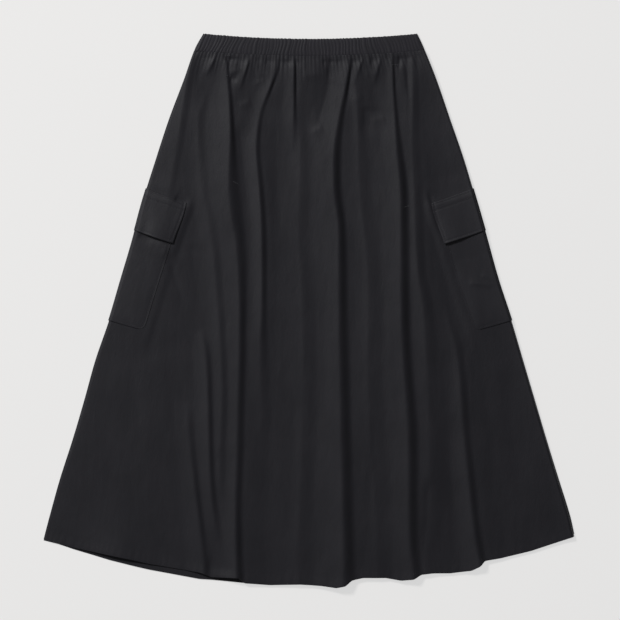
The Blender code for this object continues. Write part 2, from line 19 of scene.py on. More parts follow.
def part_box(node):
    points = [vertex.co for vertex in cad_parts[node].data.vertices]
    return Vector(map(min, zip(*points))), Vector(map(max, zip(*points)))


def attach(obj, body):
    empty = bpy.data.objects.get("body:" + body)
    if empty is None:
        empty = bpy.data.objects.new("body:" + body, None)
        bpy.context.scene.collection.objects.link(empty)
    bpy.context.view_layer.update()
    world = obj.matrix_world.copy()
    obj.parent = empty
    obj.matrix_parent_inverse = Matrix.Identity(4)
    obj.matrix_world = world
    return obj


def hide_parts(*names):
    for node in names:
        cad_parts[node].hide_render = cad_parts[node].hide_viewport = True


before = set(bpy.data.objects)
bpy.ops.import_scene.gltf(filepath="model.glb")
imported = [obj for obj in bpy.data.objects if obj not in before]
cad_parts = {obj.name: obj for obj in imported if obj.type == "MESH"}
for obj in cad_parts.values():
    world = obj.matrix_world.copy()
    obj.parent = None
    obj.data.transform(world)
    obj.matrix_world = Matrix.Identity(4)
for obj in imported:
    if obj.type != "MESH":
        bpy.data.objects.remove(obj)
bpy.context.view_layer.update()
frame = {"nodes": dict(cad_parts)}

MM = 0.001
print("Packed model:", ", ".join(frame["nodes"]))

# %% [markdown]
# ## Where the skirt lies
#
# Tailors measure a skirt down from the waist and out from its middle, in millimetres.
# So the script thinks in those two numbers, and one function turns them into a place
# on the table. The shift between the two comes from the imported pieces' own boxes.

# %% From garment sizes to the table
CASING_TOP = 3.0      # mm down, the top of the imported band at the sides
HEM_LEFT = -404.0     # mm from the middle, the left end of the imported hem

SHIFT_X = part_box("front_panel")[0][0] / MM - HEM_LEFT
SHIFT_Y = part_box("waistband")[1][1] / MM + CASING_TOP


def on_table(x, down, z):
    """Garment millimetres to the frame's millimetres, as an array with x, y, z last."""
    return np.stack(np.broadcast_arrays(x + SHIFT_X, SHIFT_Y - down, z), axis=-1).astype(float)


print(f"Shift {SHIFT_X:.1f} mm right, {SHIFT_Y:.1f} mm up")

# %% [markdown]
# ## Camera and light
#
# The photo looks straight down. A long lens from four metres keeps the edges of the
# skirt as upright as a shop's flat photo does. The light is one soft box, 3.4 m beyond
# the middle of the skirt, as far to the left and 4 m up, with a pale room round it. Its
# slanting light is what draws the folds.

# %% Camera above the skirt
PHOTO_PIXELS = 620
MM_PER_PIXEL = 1.525
PHOTO_MIDDLE = (1.6, 1.0)     # mm, where the middle of the photo falls on the table
CAMERA_HEIGHT = 4.0           # m
SENSOR_WIDTH = 36.0           # mm

camera_data = bpy.data.cameras.new("overhead_camera")
camera_data.sensor_width = SENSOR_WIDTH
camera_data.lens = SENSOR_WIDTH * CAMERA_HEIGHT / (PHOTO_PIXELS * MM_PER_PIXEL * MM)
camera = bpy.data.objects.new("overhead_camera", camera_data)
camera.location = (PHOTO_MIDDLE[0] * MM, PHOTO_MIDDLE[1] * MM, CAMERA_HEIGHT)
bpy.context.collection.objects.link(camera)
bpy.context.scene.camera = camera
print(f"Lens {camera_data.lens:.0f} mm")

# %% Soft light
SOFT_BOX_AT = (-3.6, 3.4, 4.1)     # m
SOFT_BOX_SIZE = 1.25
SOFT_BOX_WATTS = 412.0
ROOM_STRENGTH = 0.23

light_data = bpy.data.lights.new("soft_box", "AREA")
light_data.shape = "SQUARE"
light_data.size = SOFT_BOX_SIZE
light_data.energy = SOFT_BOX_WATTS
light = bpy.data.objects.new("soft_box", light_data)
light.location = SOFT_BOX_AT
light.rotation_euler = (-Vector(SOFT_BOX_AT)).to_track_quat("-Z", "Y").to_euler()
bpy.context.collection.objects.link(light)

world = bpy.data.worlds.new("pale_room")
world.use_nodes = True
world.node_tree.nodes["Background"].inputs["Color"].default_value = (1.0, 1.0, 1.0, 1.0)
world.node_tree.nodes["Background"].inputs["Strength"].default_value = ROOM_STRENGTH
bpy.context.scene.world = world
bpy.context.scene.view_settings.view_transform = "Standard"
print("Soft box at", SOFT_BOX_AT)

# %% [markdown]
# ## Colours and nodes
#
# Colours are written as they look on a screen. Blender works with linear light, so one
# function turns a hex colour into linear numbers. A second one adds a node to a
# material with its settings and links, so that each material below reads as a recipe.


# %% Helpers for materials
def linear(hex_colour):
    """A screen colour such as "#22242A" as linear red, green, blue and alpha."""
    parts = [int(hex_colour[place:place + 2], 16) / 255 for place in (1, 3, 5)]
    light = [part / 12.92 if part <= 0.04045 else ((part + 0.055) / 1.055) ** 2.4 for part in parts]
    return (*light, 1.0)


def add(material, kind, links=None, values=None, **settings):
    """One node in a material: its settings, its own values and the outputs that feed it."""
    node = material.node_tree.nodes.new(kind)
    for name, value in settings.items():
        setattr(node, name, value)
    for name, value in (values or {}).items():
        node.inputs[name].default_value = value
    for name, output in (links or {}).items():
        material.node_tree.links.new(output, node.inputs[name])
    return node


def empty_material(name):
    material = bpy.data.materials.new(name)
    material.use_nodes = True
    material.node_tree.nodes.clear()
    return material


print("Black cloth as linear light:", [round(part, 4) for part in linear("#26262A")])

# %% [markdown]
# ## The cloth's finish
# The gaps between the threads are coloured darker than the threads: painted shade.
#
# The cloth is a plain-woven synthetic, most likely nylon or polyester, calendered a
# little so that it has a dull sheen. What the eye gets from that: almost black, a soft
# light along every crest, thin threads that cross over and under, and a faint crinkle.
# The real threads are about 0.25 mm apart, too fine for this picture, so they are drawn
# 1.1 mm apart. The pattern follows each piece's own UV map, which is in millimetres.

# %% Woven synthetic
THREAD_SPACING = 1.1          # mm, coarser than the real 0.25 mm so that it shows
THREAD_HEIGHT = 0.12          # mm, how far a thread stands over the gaps beside it
PAINTED_GAP_SHADE = 0.25            # painted shade: how much darker the gaps between threads are coloured, from 0 to 1
CRINKLE_WIDTH = 9.0           # mm, across the finest creases of the cloth
CRINKLE_SQUEEZE = 0.35        # below 1, which draws those creases out down the cloth
TONE_WIDTH = 60.0             # mm, across a patch where the dye looks lighter or darker
SURFACE_SHINE = 0.22          # dull finish: less mirror light than a smooth plastic gives
WAVE_PERIOD = 0.314           # from band to band of a Wave node with a scale of 1
MIX_FIRST, MIX_SECOND, MIX_RESULT = 6, 7, 2     # a Mix node's colour sockets, by number


def woven_synthetic(name, light_hex, dark_hex, roughness, crinkle_height):
    """Dull black cloth whose threads, crinkles, tone and painted shade between threads follow the
    UV map.
    """
    material = empty_material(name)
    uv = add(material, "ShaderNodeUVMap", uv_map="weave").outputs["UV"]
    warp, weft = (
        add(
            material, "ShaderNodeTexWave", {"Vector": uv}, {"Scale": WAVE_PERIOD / THREAD_SPACING},
            bands_direction=direction,
        )
        for direction in "XY"
    )
    threads = add(
        material, "ShaderNodeMath", operation="MULTIPLY",
        links={0: warp.outputs["Fac"], 1: weft.outputs["Fac"]},
    )
    stretched = add(
        material, "ShaderNodeMapping", {"Vector": uv}, {"Scale": (1.0, CRINKLE_SQUEEZE, 1.0)},
    )
    crinkle = add(
        material, "ShaderNodeTexNoise", {"Vector": stretched.outputs["Vector"]},
        {"Scale": 1 / CRINKLE_WIDTH, "Detail": 4.0, "Roughness": 0.6, "Distortion": 0.4},
    )
    tone = add(
        material, "ShaderNodeTexNoise", {"Vector": uv},
        {"Scale": 1 / TONE_WIDTH, "Detail": 3.0, "Roughness": 0.55},
    )
    # Painted shade between the threads, added to the dye's real uneven tone, picks the colour.
    gap_shade_and_dye_tone = add(
        material, "ShaderNodeMath", operation="MULTIPLY_ADD",
        links={0: threads.outputs[0], 2: tone.outputs["Fac"]}, values={1: PAINTED_GAP_SHADE},
    )
    colour = add(
        material, "ShaderNodeMix", {"Factor": gap_shade_and_dye_tone.outputs[0]},
        {MIX_FIRST: linear(dark_hex), MIX_SECOND: linear(light_hex)}, data_type="RGBA",
    )
    crinkled = add(
        material, "ShaderNodeBump", {"Height": crinkle.outputs["Fac"]},
        {"Strength": 1.0, "Distance": crinkle_height * MM},
    )
    woven = add(
        material, "ShaderNodeBump",
        {"Height": threads.outputs[0], "Normal": crinkled.outputs["Normal"]},
        {"Strength": 0.6, "Distance": THREAD_HEIGHT * MM},
    )
    cloth = add(
        material, "ShaderNodeBsdfPrincipled",
        {"Base Color": colour.outputs[MIX_RESULT], "Normal": woven.outputs["Normal"]},
        {
            "Roughness": roughness, "Metallic": 0.0, "Specular IOR Level": SURFACE_SHINE,
            "Sheen Weight": 0.02, "Sheen Roughness": 0.45,
        },
    )
    add(material, "ShaderNodeOutputMaterial", {"Surface": cloth.outputs["BSDF"]})
    return material


panel_cloth = woven_synthetic("woven_nylon_panel", "#1D1C21", "#121217", 0.58, 0.35)
band_cloth = woven_synthetic("woven_nylon_gathered", "#232127", "#17171B", 0.6, 0.3)
pocket_cloth = woven_synthetic("woven_nylon_pocket", "#201F24", "#16161A", 0.56, 0.3)
print("Cloth finishes:", panel_cloth.name, band_cloth.name, pocket_cloth.name)

# %% [markdown]
# Sewing thread is spun polyester: a twisted, slightly glossier black than the cloth, so
# each stitch catches a point of light. The floor is a pale board, lit from below a little,
# as on a table for shop photos, so the shadows on it stay faint.

# %% Thread and floor
FLOOR_GLOW = 0.62     # light from below, as a light table gives, which softens the shadows
FLOOR_REACH = 4.0     # m, from the middle to each side
PLY_SCALE = 500.0     # of a Wave node, which draws the thread's plies 0.63 mm apart


def light_table():
    """Pale matt board, lit a little from below."""
    material = empty_material("pale_light_table")
    surface = add(
        material, "ShaderNodeBsdfPrincipled",
        values={"Base Color": linear("#7D7B79"), "Roughness": 0.9, "Specular IOR Level": 0.1},
    )
    surface.inputs["Emission Color"].default_value = (1.0, 1.0, 1.0, 1.0)
    surface.inputs["Emission Strength"].default_value = FLOOR_GLOW
    add(material, "ShaderNodeOutputMaterial", {"Surface": surface.outputs["BSDF"]})
    return material


def spun_thread():
    """Twisted polyester thread, with fine slanting plies in its bump."""
    material = empty_material("spun_polyester_thread")
    place = add(material, "ShaderNodeTexCoord").outputs["Object"]
    plies = add(
        material, "ShaderNodeTexWave", {"Vector": place},
        {"Scale": PLY_SCALE, "Distortion": 1.0}, bands_direction="DIAGONAL",
    )
    twist = add(
        material, "ShaderNodeBump", {"Height": plies.outputs["Fac"]},
        {"Strength": 0.5, "Distance": 0.05 * MM},
    )
    thread = add(
        material, "ShaderNodeBsdfPrincipled", {"Normal": twist.outputs["Normal"]},
        {"Base Color": linear("#26252A"), "Roughness": 0.5, "Specular IOR Level": 0.3},
    )
    add(material, "ShaderNodeOutputMaterial", {"Surface": thread.outputs["BSDF"]})
    return material


thread_material = spun_thread()
floor_material = light_table()

floor_mesh = bmesh.new()
bmesh.ops.create_grid(floor_mesh, x_segments=1, y_segments=1, size=FLOOR_REACH)
floor_data = bpy.data.meshes.new("floor")
floor_mesh.to_mesh(floor_data)
floor_mesh.free()
floor_data.materials.append(floor_material)
floor = bpy.data.objects.new("floor", floor_data)
bpy.context.collection.objects.link(floor)
print("Floor", 2 * FLOOR_REACH, "m square")

# %% [markdown]
# ## The cut and the folds, in tables
#
# A short table holds what a tailor would note: how far the side seams stand from the
# middle at each height, and the line of each hem. The same rows arc across the skirt,
# because a flared panel hangs square to its side seams.

# %% Outline of the panels
BAND_FOOT = 30.0      # mm down at the sides, as are the next two
HEM = 772.0
HEM_STARTS = 600.0    # rows below this bend from an even arc towards the hem line

Outline = namedtuple("Outline", "down left right bow")
OUTLINE = Outline(
    down=(3, 27, 72, 133, 194, 255, 317, 378, 439, 500, 561, 622, 684, 745, 772),
    left=(
        -161, -174, -190, -213, -233, -252, -268, -286, -304, -325, -342, -360, -380, -397, -404,
    ),
    right=(166, 177, 195, 216, 237, 255, 272, 289, 309, 327, 345, 363, 381, 399, 405),
    bow=(8, 8, 16, 25, 32, 38, 42, 45, 48, 51, 55, 60, 65, 69, 70),
)

HemLine = namedtuple("HemLine", "x front back")
HEM_LINE = HemLine(
    x=(
        -404, -357, -330, -304, -270, -242, -166, -148, -108, -99, -59, -13, 18, 40, 53, 64, 82,
        117, 140, 158, 171, 189, 216, 247, 259, 268, 293, 339, 405,
    ),
    front=(
        775, 786.5, 792, 797.5, 804.5, 811, 824, 831, 832, 840, 843, 842, 844, 847, 844, 836,
        832, 832, 836, 834, 827, 825, 825, 821, 814, 806, 802, 791, 769,
    ),
    back=(
        773, 789, 797, 805, 813.5, 820, 834, 835, 839, 840, 840, 840, 840, 839, 837, 833, 829,
        826, 824, 822, 820, 818, 815, 809, 806, 803, 797, 785, 765,
    ),
)


def smooth(share):
    """A smooth step from 0 to 1."""
    share = np.clip(share, 0.0, 1.0)
    return share * share * (3 - 2 * share)


def hump(distance, width):
    """A round hump: 1 at no distance, 0.37 at its width, and almost 0 at twice its width."""
    return np.exp(-(distance / width) ** 2)


def read(table, column, down):
    """A column of a table, read on a smooth curve through its numbers."""
    downs = np.array(table.down, dtype=float)
    values = np.array(getattr(table, column), dtype=float)
    place = np.arange(len(downs))
    before = np.maximum(place - 1, 0)
    after = np.minimum(place + 1, len(downs) - 1)
    slopes = (values[after] - values[before]) / (downs[after] - downs[before])
    down = np.clip(down, downs[0], downs[-1])
    step = np.clip(np.searchsorted(downs, down, side="right") - 1, 0, len(downs) - 2)
    span = downs[step + 1] - downs[step]
    share = (down - downs[step]) / span
    leave = slopes[step] * span * share * (1 - share) ** 2
    arrive = slopes[step + 1] * span * share ** 2 * (1 - share)
    return values[step] + (values[step + 1] - values[step]) * smooth(share) + leave - arrive


def seams(row_down):
    """Where the left and the right side seam stand at a row."""
    return read(OUTLINE, "left", row_down), read(OUTLINE, "right", row_down)


def arc_down(row_down, x):
    """Down of a row at x: rows are arcs across the skirt."""
    left, right = seams(row_down)
    across = (2 * x - left - right) / (right - left)
    return row_down + read(OUTLINE, "bow", row_down) * (1 - across ** 2)


def near_hem(row_down, start):
    """A smooth step from 0 at a starting row to 1 at the hem."""
    return smooth((row_down - start) / (HEM - start))


def panel_down(row_down, x, panel):
    """Down of a panel's row at x, bent towards that panel's hem line near the hem."""
    line = np.interp(x, HEM_LINE.x, getattr(HEM_LINE, panel))
    return arc_down(row_down, x) + (line - arc_down(HEM, x)) * near_hem(row_down, HEM_STARTS)


print("Left seam from", OUTLINE.left[0], "mm at the waist to", OUTLINE.left[-1], "mm at the hem")

# %% [markdown]
# A long fold in laid-out cloth is not a sine wave. It rises slowly on one side, and on
# the other it drops steeply and tucks under itself. The photo's dark lines run where
# the cloth drops. So a fold is a crest with a long reach on its left and a short fall
# on its right, and its top leans over to the right. What is left of its height sinks
# slowly into the next fold. A fold's table lists places down the skirt, and for each of
# them where the fall is, how high the fold stands, and those two widths.

# %% Long folds
Fold = namedtuple("Fold", "down x height reach fall")
LONG_FOLDS = {
    "gather_far_left": Fold(
        down=(32, 46, 68), x=(-139, -144, -153), height=(0.8, 2.4, 0), reach=(9, 11, 10),
        fall=(4, 4.5, 6),
    ),
    "gather_left": Fold(
        down=(32, 50, 70, 90), x=(-86, -91, -97, -102), height=(0.8, 2.6, 1.8, 0),
        reach=(9, 13, 13, 12), fall=(4, 4.5, 5.5, 7),
    ),
    "gather_right": Fold(
        down=(32, 48, 64, 84), x=(87, 82, 77, 71), height=(0.8, 2, 1, 0), reach=(9, 12, 12, 10),
        fall=(4, 4.5, 5.5, 7),
    ),
    "gather_far_right": Fold(
        down=(32, 56, 84), x=(113, 108, 101), height=(0.5, 1.8, 0), reach=(9, 12, 10),
        fall=(4, 5, 7),
    ),
    "side_left": Fold(
        down=(37, 87, 179, 240, 278), x=(-171, -180, -194, -204, -207),
        height=(1.4, 1.8, 1.3, 0.9, 0), reach=(12, 16, 25, 25, 25), fall=(10, 12, 12, 12, 12),
    ),
    "upper_left": Fold(
        down=(90, 133, 240, 301, 424, 546, 669, 715),
        x=(-150, -160, -154, -142, -131, -126, -129, -126),
        height=(0, 1.2, 1.5, 2.2, 2.7, 2.7, 1.5, 0), reach=(16, 19, 21, 22, 24, 19, 19, 19),
        fall=(11, 13, 14.5, 14.5, 13, 12, 12, 12),
    ),
    "hem_far_left": Fold(
        down=(562, 607, 669, 730, 810), x=(-180, -177, -171, -164, -154),
        height=(0, 1.8, 3.1, 4, 3.6), reach=(24, 24, 24, 27, 30), fall=(11, 11, 10, 10, 11),
    ),
    "hem_left": Fold(
        down=(454, 485, 546, 669, 730, 806), x=(-158, -152, -149, -146, -140, -126),
        height=(0, 2.7, 4, 4.5, 3.6, 0), reach=(21, 21, 22, 21, 18, 17),
        fall=(11, 11, 9.5, 9.5, 11, 12),
    ),
    "left_seam": Fold(
        down=(30, 46, 64, 87, 148, 233, 278, 332, 424, 607, 730, 832),
        x=(-124, -123, -121, -119, -115, -110, -105, -99, -98, -101, -105, -103),
        height=(0.8, 1.7, 2.4, 3.7, 6.8, 8.5, 8.7, 7.7, 6.7, 5.5, 6.1, 9),
        reach=(12, 15, 18, 26, 52, 56, 56, 52, 43, 34, 36, 38),
        fall=(4.5, 4.5, 5, 6.5, 10, 22, 24, 20, 14.5, 14.5, 13, 15.5),
    ),
    "left_middle": Fold(
        down=(30, 60, 87, 120, 148, 179, 240, 301, 424, 485, 640),
        x=(-42, -47, -57, -69, -74, -76, -71, -67, -66, -65, -56),
        height=(0.8, 2.7, 3.1, 1.9, 2.9, 3.5, 4.6, 4.8, 4, 2.7, 0),
        reach=(12, 17, 20, 22, 22, 20, 18, 18, 19, 20, 20),
        fall=(4.5, 5, 6, 7, 8, 9, 10, 11, 11, 15, 22),
    ),
    "upper_middle": Fold(
        down=(30, 50, 110, 150, 185), x=(-20, -20, -20, -19, -18), height=(1.1, 3, 3.4, 1.4, 0),
        reach=(12, 16, 18, 18, 18), fall=(4.5, 4.5, 5.5, 9, 11),
    ),
    "middle": Fold(
        down=(118, 179, 301, 424, 546, 669, 843), x=(-5, 0, 0, 5, 8, 4, 2),
        height=(0, 2.7, 2.2, 3.1, 3.1, 3.1, 2.7), reach=(36, 36, 40, 44, 48, 48, 48),
        fall=(21.5, 21.5, 24, 24, 26.5, 26.5, 29),
    ),
    "right_middle": Fold(
        down=(30, 57, 87, 133, 179, 240, 301, 424, 607, 730, 840),
        x=(68, 64, 59, 51, 46, 46, 53, 55, 60, 63, 66),
        height=(0.8, 3.1, 4.1, 5.4, 7.2, 8.2, 8.2, 8.2, 8.8, 9.5, 9.8),
        reach=(14, 22, 34, 48, 60, 63, 63, 63, 63, 60, 60),
        fall=(4.5, 5.5, 7.5, 11, 15, 16, 16, 18.5, 21, 22, 23),
    ),
    "right_soft": Fold(
        down=(64, 103, 240, 363, 546, 730, 806), x=(79, 84, 91, 106, 109, 120, 122),
        height=(0, 1.2, 1.6, 2.7, 2.7, 2.2, 1.6), reach=(16, 12, 21, 27, 29, 29, 29),
        fall=(17, 17, 21.5, 26.5, 29, 29, 29),
    ),
    "right_seam": Fold(
        down=(30, 60, 87, 133, 179, 240, 424, 485, 607, 730, 783, 829),
        x=(129, 130, 131, 135, 140, 147, 150, 152, 161, 162, 163, 168),
        height=(0.8, 2.4, 3, 4.3, 6.5, 8.4, 9, 8.8, 9.2, 8.8, 8.4, 7.6),
        reach=(11, 16, 26, 36, 52, 58, 60, 60, 60, 56, 49, 43),
        fall=(4.5, 4.5, 5.5, 8, 13, 16, 18.5, 18.5, 19.5, 19.5, 18.5, 17.5),
    ),
    "right_seam_side": Fold(
        down=(30, 87, 133, 179), x=(142, 151, 151, 147), height=(0.6, 0.6, 0.4, 0),
        reach=(10, 12, 12, 12), fall=(5, 6, 7, 9),
    ),
    "right_upper": Fold(
        down=(30, 87, 179, 240, 363, 424, 546, 730, 806),
        x=(163, 166, 167, 170, 175, 186, 197, 201, 196),
        height=(1.1, 2.2, 1.4, 2.2, 3.6, 3.6, 2.2, 2.2, 1.4),
        reach=(11, 13, 14, 16, 20, 23, 27, 29, 29),
        fall=(11, 12.5, 15, 16, 17.5, 20, 25, 27.5, 27.5),
    ),
    "right_hem": Fold(
        down=(409, 454, 485, 546, 607, 669, 730, 783, 815),
        x=(216, 226, 233, 239, 243, 249, 255, 262, 268),
        height=(0, 1.6, 2.7, 4, 4.5, 5.4, 6.3, 6.8, 8.1),
        reach=(16, 20, 22, 25, 28, 30, 32, 34, 35), fall=(16, 15, 14, 14, 14, 14, 14, 14, 14.5),
    ),
}
LEAN = 0.3            # how far a crest leans to the right, as a share of its height
STEEPENS = 1.9        # above 1, so that a rise is steepest just before its crest
BEYOND = 0.26         # height that is left beyond the fall, as a share of the crest's
SINKS = 1.2           # how far that height takes to sink, as a share of the reach
FALL_LEFT = 0.68      # share of a fall that is left of its dark line


def ridge(offset, reach, fall):
    """Shape of a fold from 0 to 1, at an offset from the dark line in its fall."""
    from_crest = offset + FALL_LEFT * fall
    rise = np.clip(1 + from_crest / reach, 0.0, 1.0) ** STEEPENS
    drop = 0.5 * (1 + np.cos(np.pi * np.clip(from_crest / fall, 0.0, 1.0)))
    sink = 1 - smooth((from_crest - fall) / (SINKS * reach))
    return np.where(from_crest < 0, rise, (1 - BEYOND) * drop + BEYOND * sink)


def fold_height(x, down):
    """Sum of all long folds."""
    total = np.zeros_like(x)
    for fold in LONG_FOLDS.values():
        height = np.maximum(read(fold, "height", down), 0.0)
        offset = x - read(fold, "x", down)
        total += height * ridge(offset, read(fold, "reach", down), read(fold, "fall", down))
    return total


print(len(LONG_FOLDS), "long folds")

# %% [markdown]
# Elastic pulls the top of the cloth together, so short sharp troughs run down from the
# band with small pillows of cloth between them. They are uneven, so they are listed one
# by one: where each starts and ends, how deep and how wide it is. A trough fades along
# its length. The same kind of row also makes the loose creases lower down.

# %% Short gathers and loose creases
Crease = namedtuple("Crease", "x_top down_top x_end down_end height width")


def rows_of(kind, *rows):
    """A table: rows of plain numbers, given the names of their columns."""
    return tuple(kind(*row) for row in rows)


WAIST_CREASES = rows_of(
    Crease,
    (-123, 44, -121, 96, -1.4, 2), (-129, 35, -122, 46, -2.4, 1.7),
    (-115, 36, -121, 46, -2, 1.7), (-43, 32, -61, 104, -1.4, 2),
    (-20, 32, -22, 118, -1.6, 1.8), (66, 32, 56, 118, -1.8, 2.4),
    (129, 32, 133, 106, -1.2, 1.8), (-163, 30, -172, 90, -1.3, 3),
    (-108, 29, -112, 46, -1.2, 1.6), (-76, 29, -78, 48, -1.4, 1.6),
    (-62, 29, -64, 52, -1.4, 1.7), (-39, 38, -30, 54, -1.4, 1.8),
    (-6, 29, -8, 44, -1, 1.6), (22, 30, 24, 54, -1.8, 1.6),
    (30, 30, 34, 48, -1.6, 1.5), (33, 42, 28, 84, -1.4, 2.4),
    (32, 78, 10, 150, -1.1, 4.5), (46, 29, 45, 50, -1.2, 1.6),
    (98, 28, 95, 52, -1.4, 1.6), (118, 28, 119, 44, -1.2, 1.5),
    (138, 34, 137, 56, -2.6, 1.8), (149, 27, 151, 104, -1.4, 2.6),
    (162, 27, 165, 60, -1, 2.2), (86, 118, 83, 160, -1.4, 5),
    (-119, 64, -102, 57, 1.1, 2.6), (-78, 68, -56, 63, 0.9, 5),
    (-6, 68, 26, 64, 1, 5), (88, 66, 106, 62, 0.8, 5),
    (-119, 72, -108, 75, -1.4, 2), (-68, 73, -85, 80, 0.9, 2.4),
    (-90, 106, -109, 113, 0.9, 2.4), (80, 98, 64, 106, 0.5, 2.4),
    (114, 130, 92, 137, 0.7, 2.6), (18, 145, 1, 155, 0.9, 2.4),
)
LOOSE_CREASES = rows_of(
    Crease,
    (-256, 309, -224, 320, -1.8, 4.5), (-203, 256, -183, 266, -1.8, 2),
    (-241, 232, -203, 249, 0.8, 1.6), (183, 248, 205, 324, -1.3, 1.8),
    (247, 384, 289, 387, 0.8, 2.2), (264, 372, 289, 380, 0.7, 2),
    (-152, 815, -104, 826, -1, 5), (-213, 342, -188, 425, -0.9, 3.2),
    (-205, 345, -180, 430, 0.7, 6), (-216, 326, -222, 345, 0.8, 4),
    (-258, 312, -238, 322, -0.8, 4), (-178, 330, -168, 420, -0.9, 5),
    (-214, 470, -204, 640, -0.7, 8), (-310, 560, -296, 720, -0.6, 12),
    (-252, 500, -246, 700, 0.8, 14), (-105, 150, -92, 300, -1.2, 5),
    (-46, 300, -40, 560, 0.9, 9), (-20, 560, -30, 780, -0.8, 8),
    (26, 380, 22, 640, -0.7, 8), (98, 600, 92, 800, -0.9, 7),
    (181, 690, 176, 815, -1.6, 5), (214, 600, 222, 800, -1, 7),
    (200, 470, 206, 640, 0.8, 9), (300, 520, 318, 700, -0.7, 12),
    (212, 150, 222, 215, 0.7, 7), (-206, 120, -222, 205, 0.7, 8),
)
CREASE_TIP = 0.35     # how round the bottom of a trough is, as a share of its width
CREASE_SLACK = 3.0    # how much wider a crease is on its right or upper side
CREASE_STARTS = -0.12     # shares of a crease's length: where it starts to grow,
CREASE_GROWS = 0.2        # over how much of it,
CREASE_ENDS = 1.1         # where it has died out,
CREASE_FADES = 0.6        # and over how much of it


def crease_height(x, down):
    """Sum of all creases, each a V with a round tip along a line, faded at its ends."""
    total = np.zeros_like(x)
    for crease in WAIST_CREASES + LOOSE_CREASES:
        run = np.array([crease.x_end - crease.x_top, crease.down_end - crease.down_top])
        length = np.hypot(*run)
        run = run / length
        from_top_x = x - crease.x_top
        from_top_down = down - crease.down_top
        along = (from_top_x * run[0] + from_top_down * run[1]) / length
        beside = from_top_x * run[1] - from_top_down * run[0]
        grown = smooth((along - CREASE_STARTS) / CREASE_GROWS)
        fade = grown * smooth((CREASE_ENDS - along) / CREASE_FADES)
        width = crease.width * np.where(beside > 0, CREASE_SLACK, 1.0)
        total += crease.height * fade * np.exp(CREASE_TIP - np.hypot(CREASE_TIP, beside / width))
    return total


print(len(WAIST_CREASES) + len(LOOSE_CREASES), "creases placed by hand")

# %% [markdown]
# The ribs of the gathered casing run on into the panels and fade out. They are round on
# top with a sharp valley between them, and no two are alike: their spacing and strength
# are jittered with a fixed seed, so that the lesson makes the same skirt each time.

# %% Ribs from the elastic
RIBS = 66
RIB_HEIGHT = 0.9
RIBS_END = 74.0       # mm down, where they have died out
RIBS_FADE = 1.5       # above 1, so that they fade fastest close to the band
RIB_JITTER = 0.34     # how far a valley is moved at most, as a share of a rib
RIB_STRENGTHS = (0.45, 1.0)
RIB_ROUND = 0.85      # below 1, so that a rib is wider at its top than a sine wave


def rib_table(seed):
    """Places of the ribs' valleys from 0 to 1, and the strength of each rib."""
    draw = random.Random(seed)
    valleys = [(rib + draw.uniform(-RIB_JITTER, RIB_JITTER)) / RIBS for rib in range(RIBS + 1)]
    valleys[0] = 0.0
    valleys[-1] = 1.0
    return np.array(valleys), np.array([draw.uniform(*RIB_STRENGTHS) for _ in range(RIBS + 1)])


def rib_shape(share, table):
    """Height of the ribs from 0 to 1 across a layer, round on top, sharp in the valleys."""
    valleys, strengths = table
    phase = np.interp(share, valleys, np.arange(RIBS + 1))
    rib = np.clip(np.floor(phase).astype(int), 0, RIBS)
    return strengths[rib] * np.abs(np.sin(np.pi * phase)) ** RIB_ROUND


def ribs_left(row_down):
    """Share of the ribs' height that is left at a row below the band."""
    return (1 - smooth((row_down - BAND_FOOT) / (RIBS_END - BAND_FOOT))) ** RIBS_FADE


front_ribs = rib_table(7)
back_ribs = rib_table(11)
print(RIBS, "ribs on each side of the band")

# %% [markdown]
# ## From tables to a surface
#
# One function now says where any point of the front lies. It adds up what lifts the
# cloth: the back panel under it, the pocket halves tucked below, the rise to the band,
# a puff inside the left seam, the seam allowance in the right one, folds, creases, ribs
# and a low random crinkle.

# %% Surface of the panels
REST_LEVEL = 2.7      # mm, the outside of the front where it rests on the back
BAG_LIFT = 1.0        # mm, from the panel to the outside of a bag
FLAP_LIFT = 0.9       # mm, from the bag, or above it the panel, to the outside of a flap
WAIST_RISE = 2.2      # mm, how far the front climbs to meet the band
WAIST_RISE_ENDS = 110.0
TUCK = 0.8            # mm, how deep the cloth dives into the seam below the band
TUCK_REACH = 18.0
FOLDS_AT_BAND = 0.1   # how far along its smooth step to full height a fold starts
FOLDS_GROW = 15.0     # mm below the band, over which the folds reach their height
CREASES_AT_BAND = 0.2     # share of their height that creases have at the band
CREASES_START = 2.0       # mm below the band, where they grow from that
CREASES_GROW = 6.0
CRINKLE_HEIGHT = 0.45     # mm
CRINKLES = ((34, 130, 1.0, 3.0), (13, 40, 0.5, 12.0))     # mm wide, mm long, share, seed
HEM_STITCH_INSET = 8.0
HEM_THICKER = 0.3     # mm, the turned hem over the single cloth
HEM_STEP = 3.0        # mm, over which it gets thicker
HEM_GROOVE = (0.35, 1.3)      # mm, how deep and how wide its stitches pull the cloth in
PUCKER = (0.16, 7.0)          # mm, how high and how wide the cloth puckers along them
PUCKER_TURNS = (520, 3, 61)   # radians across the hem, how far they wander, and how often
HEM_REST = 1.9        # mm, how far the left of the hem sinks onto the back
HEM_REST_STARTS = 620.0
HEM_REST_TO = -150.0
HEM_REST_FADES = 40.0
HEM_GAPE = 4.8        # mm, how far it gapes again at one place
HEM_GAPE_AT = -290.0
HEM_GAPE_WIDE = 42.0
HEM_GAPE_LOW = 4      # above 1, so that it gapes only close to its edge
SIDE_PUFF = 1.4       # mm, how much the cloth rises inside the left seam
SIDE_PUFF_REACH = 18.0
SEAM_RISE = 3.6       # mm, how much the seam allowance lifts the right edge
SEAM_RISE_REACH = 13.0
SEAM_LEVEL = 1.3      # mm, height of the side seams, where the front meets the back
SEAM_ROLL = 1.1       # mm, over which the front rolls down to its seams
BESIDE_POCKET = 5.0
LIFT_FADES = 12.0
